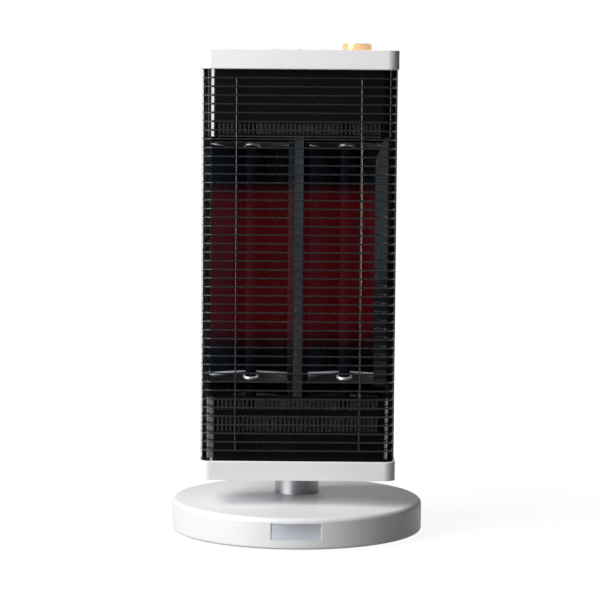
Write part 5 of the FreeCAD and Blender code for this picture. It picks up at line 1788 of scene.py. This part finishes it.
@dataclass
class Studio:
    """The camera, lamps, world, floor and cards of a plain bright studio."""

    camera_place: tuple[float, float, float] = (0.0026, -3.60, 0.6625)
    camera_pitch: float = 5.35
    camera_roll: float = 0.45
    lens: float = 155.4
    sensor: float = 36.0
    nearest: float = 0.05
    aim: tuple[float, float, float] = (0.0, -0.05, 0.56)
    key: Screen = Screen(51.0, 27.0, 2.3, 2.1, 1.6, 93.0)
    rear: Screen = Screen(180.0, 4.0, 2.3, 1.4, 0.9, 14.0)
    glint: Screen = Screen(53.0, 6.0, 1.9, 1.3, 1.2)
    ambient: float = 0.042
    floor_half: float = 8.0
    floor_glow: float = 0.9
    floor_grey: float = 0.22
    floor_fade: tuple[float, float] = (0.35, 1.4)

    def build(self) -> None:
        """Set up the studio."""
        bpy.context.scene.view_settings.view_transform = "Standard"
        self.camera()
        self.lamp("key", self.key)
        self.lamp("rear", self.rear)
        self.world()
        self.floor()
        self.cards()

    def camera(self) -> None:
        """Place the camera at the photograph's viewing angle."""
        data = bpy.data.cameras.new("camera")
        data.lens, data.sensor_width, data.clip_start = self.lens, self.sensor, self.nearest
        made = bpy.data.objects.new("camera", data)
        bpy.context.scene.collection.objects.link(made)
        turn = turn_by(QUARTER_TURN - self.camera_pitch, "X") @ turn_by(self.camera_roll)
        made.matrix_world = Matrix.Translation(self.camera_place) @ turn.to_4x4()
        bpy.context.scene.camera = made

    def lamp(self, name: str, screen: Screen) -> None:
        """Hang a wide soft lamp that looks at the heater.

        Args:
            name: the lamp's name.
            screen: its place, size and power.
        """
        data = bpy.data.lights.new(name, "AREA")
        data.shape = "RECTANGLE"
        data.size, data.size_y, data.energy = screen.width, screen.height, screen.power
        made = bpy.data.objects.new(name, data)
        bpy.context.scene.collection.objects.link(made)
        towards = screen.towards()
        made.matrix_world = (Matrix.Translation(Vector(self.aim) + screen.distance * towards)
                             @ towards.to_track_quat("Z", "Y").to_matrix().to_4x4())
        made.visible_camera = made.visible_glossy = False

    def world(self) -> None:
        """Make a white background over a dim even light."""
        world = bpy.context.scene.world = bpy.data.worlds.new("studio")
        bench = NodeBench(world)
        dim = bench.add("ShaderNodeBackground", {"Color": WHITE, "Strength": self.ambient})
        white = bench.add("ShaderNodeBackground", {"Color": WHITE})
        bench.surface(bench.seen_apart(dim, white), "ShaderNodeOutputWorld")

    def floor(self) -> None:
        """Lay a pale floor that keeps the heater's shadow."""
        blank = Blank()
        half = self.floor_half
        blank.fill(blank.rectangle(Vector(), half * X_AXIS, half * Y_AXIS))
        blank.face_out(Z_AXIS)
        made = blank.to_object("floor")
        made.data.materials.append(material_of("pale_floor", self.floor_shader))

    def floor_shader(self, bench: NodeBench) -> Node:
        """Make the floor's shader, which fades to white away from the heater.

        Args:
            bench: where the nodes go.

        Returns:
            The shader.
        """
        distance = bench.add("ShaderNodeVectorMath", {0: bench.place}, operation="LENGTH")
        strength = bench.ranged(distance.outputs["Value"], self.floor_fade, (self.floor_glow, 1.0),
                                Easing.SMOOTH)
        matte = bench.add("ShaderNodeBsdfDiffuse", {"Color": (*(self.floor_grey,) * 3, 1.0)})
        glow = bench.add("ShaderNodeEmission", {"Strength": strength})
        both = bench.add("ShaderNodeAddShader", {0: matte.outputs[0], 1: glow.outputs[0]})
        return bench.seen_apart(matte, both)

    def cards(self) -> None:
        """Stand cards round the heater and lay some before it, which only mirrors see."""
        towards = self.glint.towards()
        level = Z_AXIS.cross(towards).normalized()
        sheets = (
            ("glint_card", Tone.BRIGHT, Vector(self.aim) + self.glint.distance * towards,
             self.glint.width / 2.0 * level, self.glint.height / 2.0 * towards.cross(level)),
            ("front_card", Tone.GREY, (-0.9, -4.2, 1.9), 1.7 * X_AXIS, 1.95 * Z_AXIS),
            ("far_card", Tone.DARK, (2.2, -4.2, 1.9), 1.4 * X_AXIS, 1.95 * Z_AXIS),
            ("right_card", Tone.DARK, (2.6, -1.1, 1.9), 3.1 * Y_AXIS, 1.95 * Z_AXIS),
            ("back_card", Tone.PALE, (0.0, 3.0, 1.4), 3.2 * X_AXIS, 1.45 * Z_AXIS),
            ("left_card", Tone.DARK, (-3.2, 1.1, 1.9), 1.5 * Y_AXIS, 1.95 * Z_AXIS),
            ("low_card", Tone.DARK, (0.5, -2.8, 0.004), 2.2 * X_AXIS, 1.5 * Y_AXIS),
            ("near_card", Tone.DARK, (1.15, -0.8, 0.004), 1.55 * X_AXIS, 0.5 * Y_AXIS),
        )
        for name, tone, centre, across, up in sheets:
            blank = Blank()
            blank.fill(blank.rectangle(Vector(centre), across, up))
            made = blank.to_object(name)
            made.data.materials.append(tone.material())
            made.visible_camera = made.visible_diffuse = False
            made.visible_shadow = made.visible_transmission = False


def main() -> None:
    """Build the studio and every sub-assembly in order."""
    logging.basicConfig(level=logging.INFO, format="%(name)s: %(message)s")
    Studio().build()
    for assembly in (Foot(), Stand(), TiltHinge(), HeadShell(), HeatingChamber(), Guard(),
                     Controls(), InnerWorks()):
        LOG.info("building %s", type(assembly).__name__)
        assembly.build()


if __name__ == "__main__":
    main()
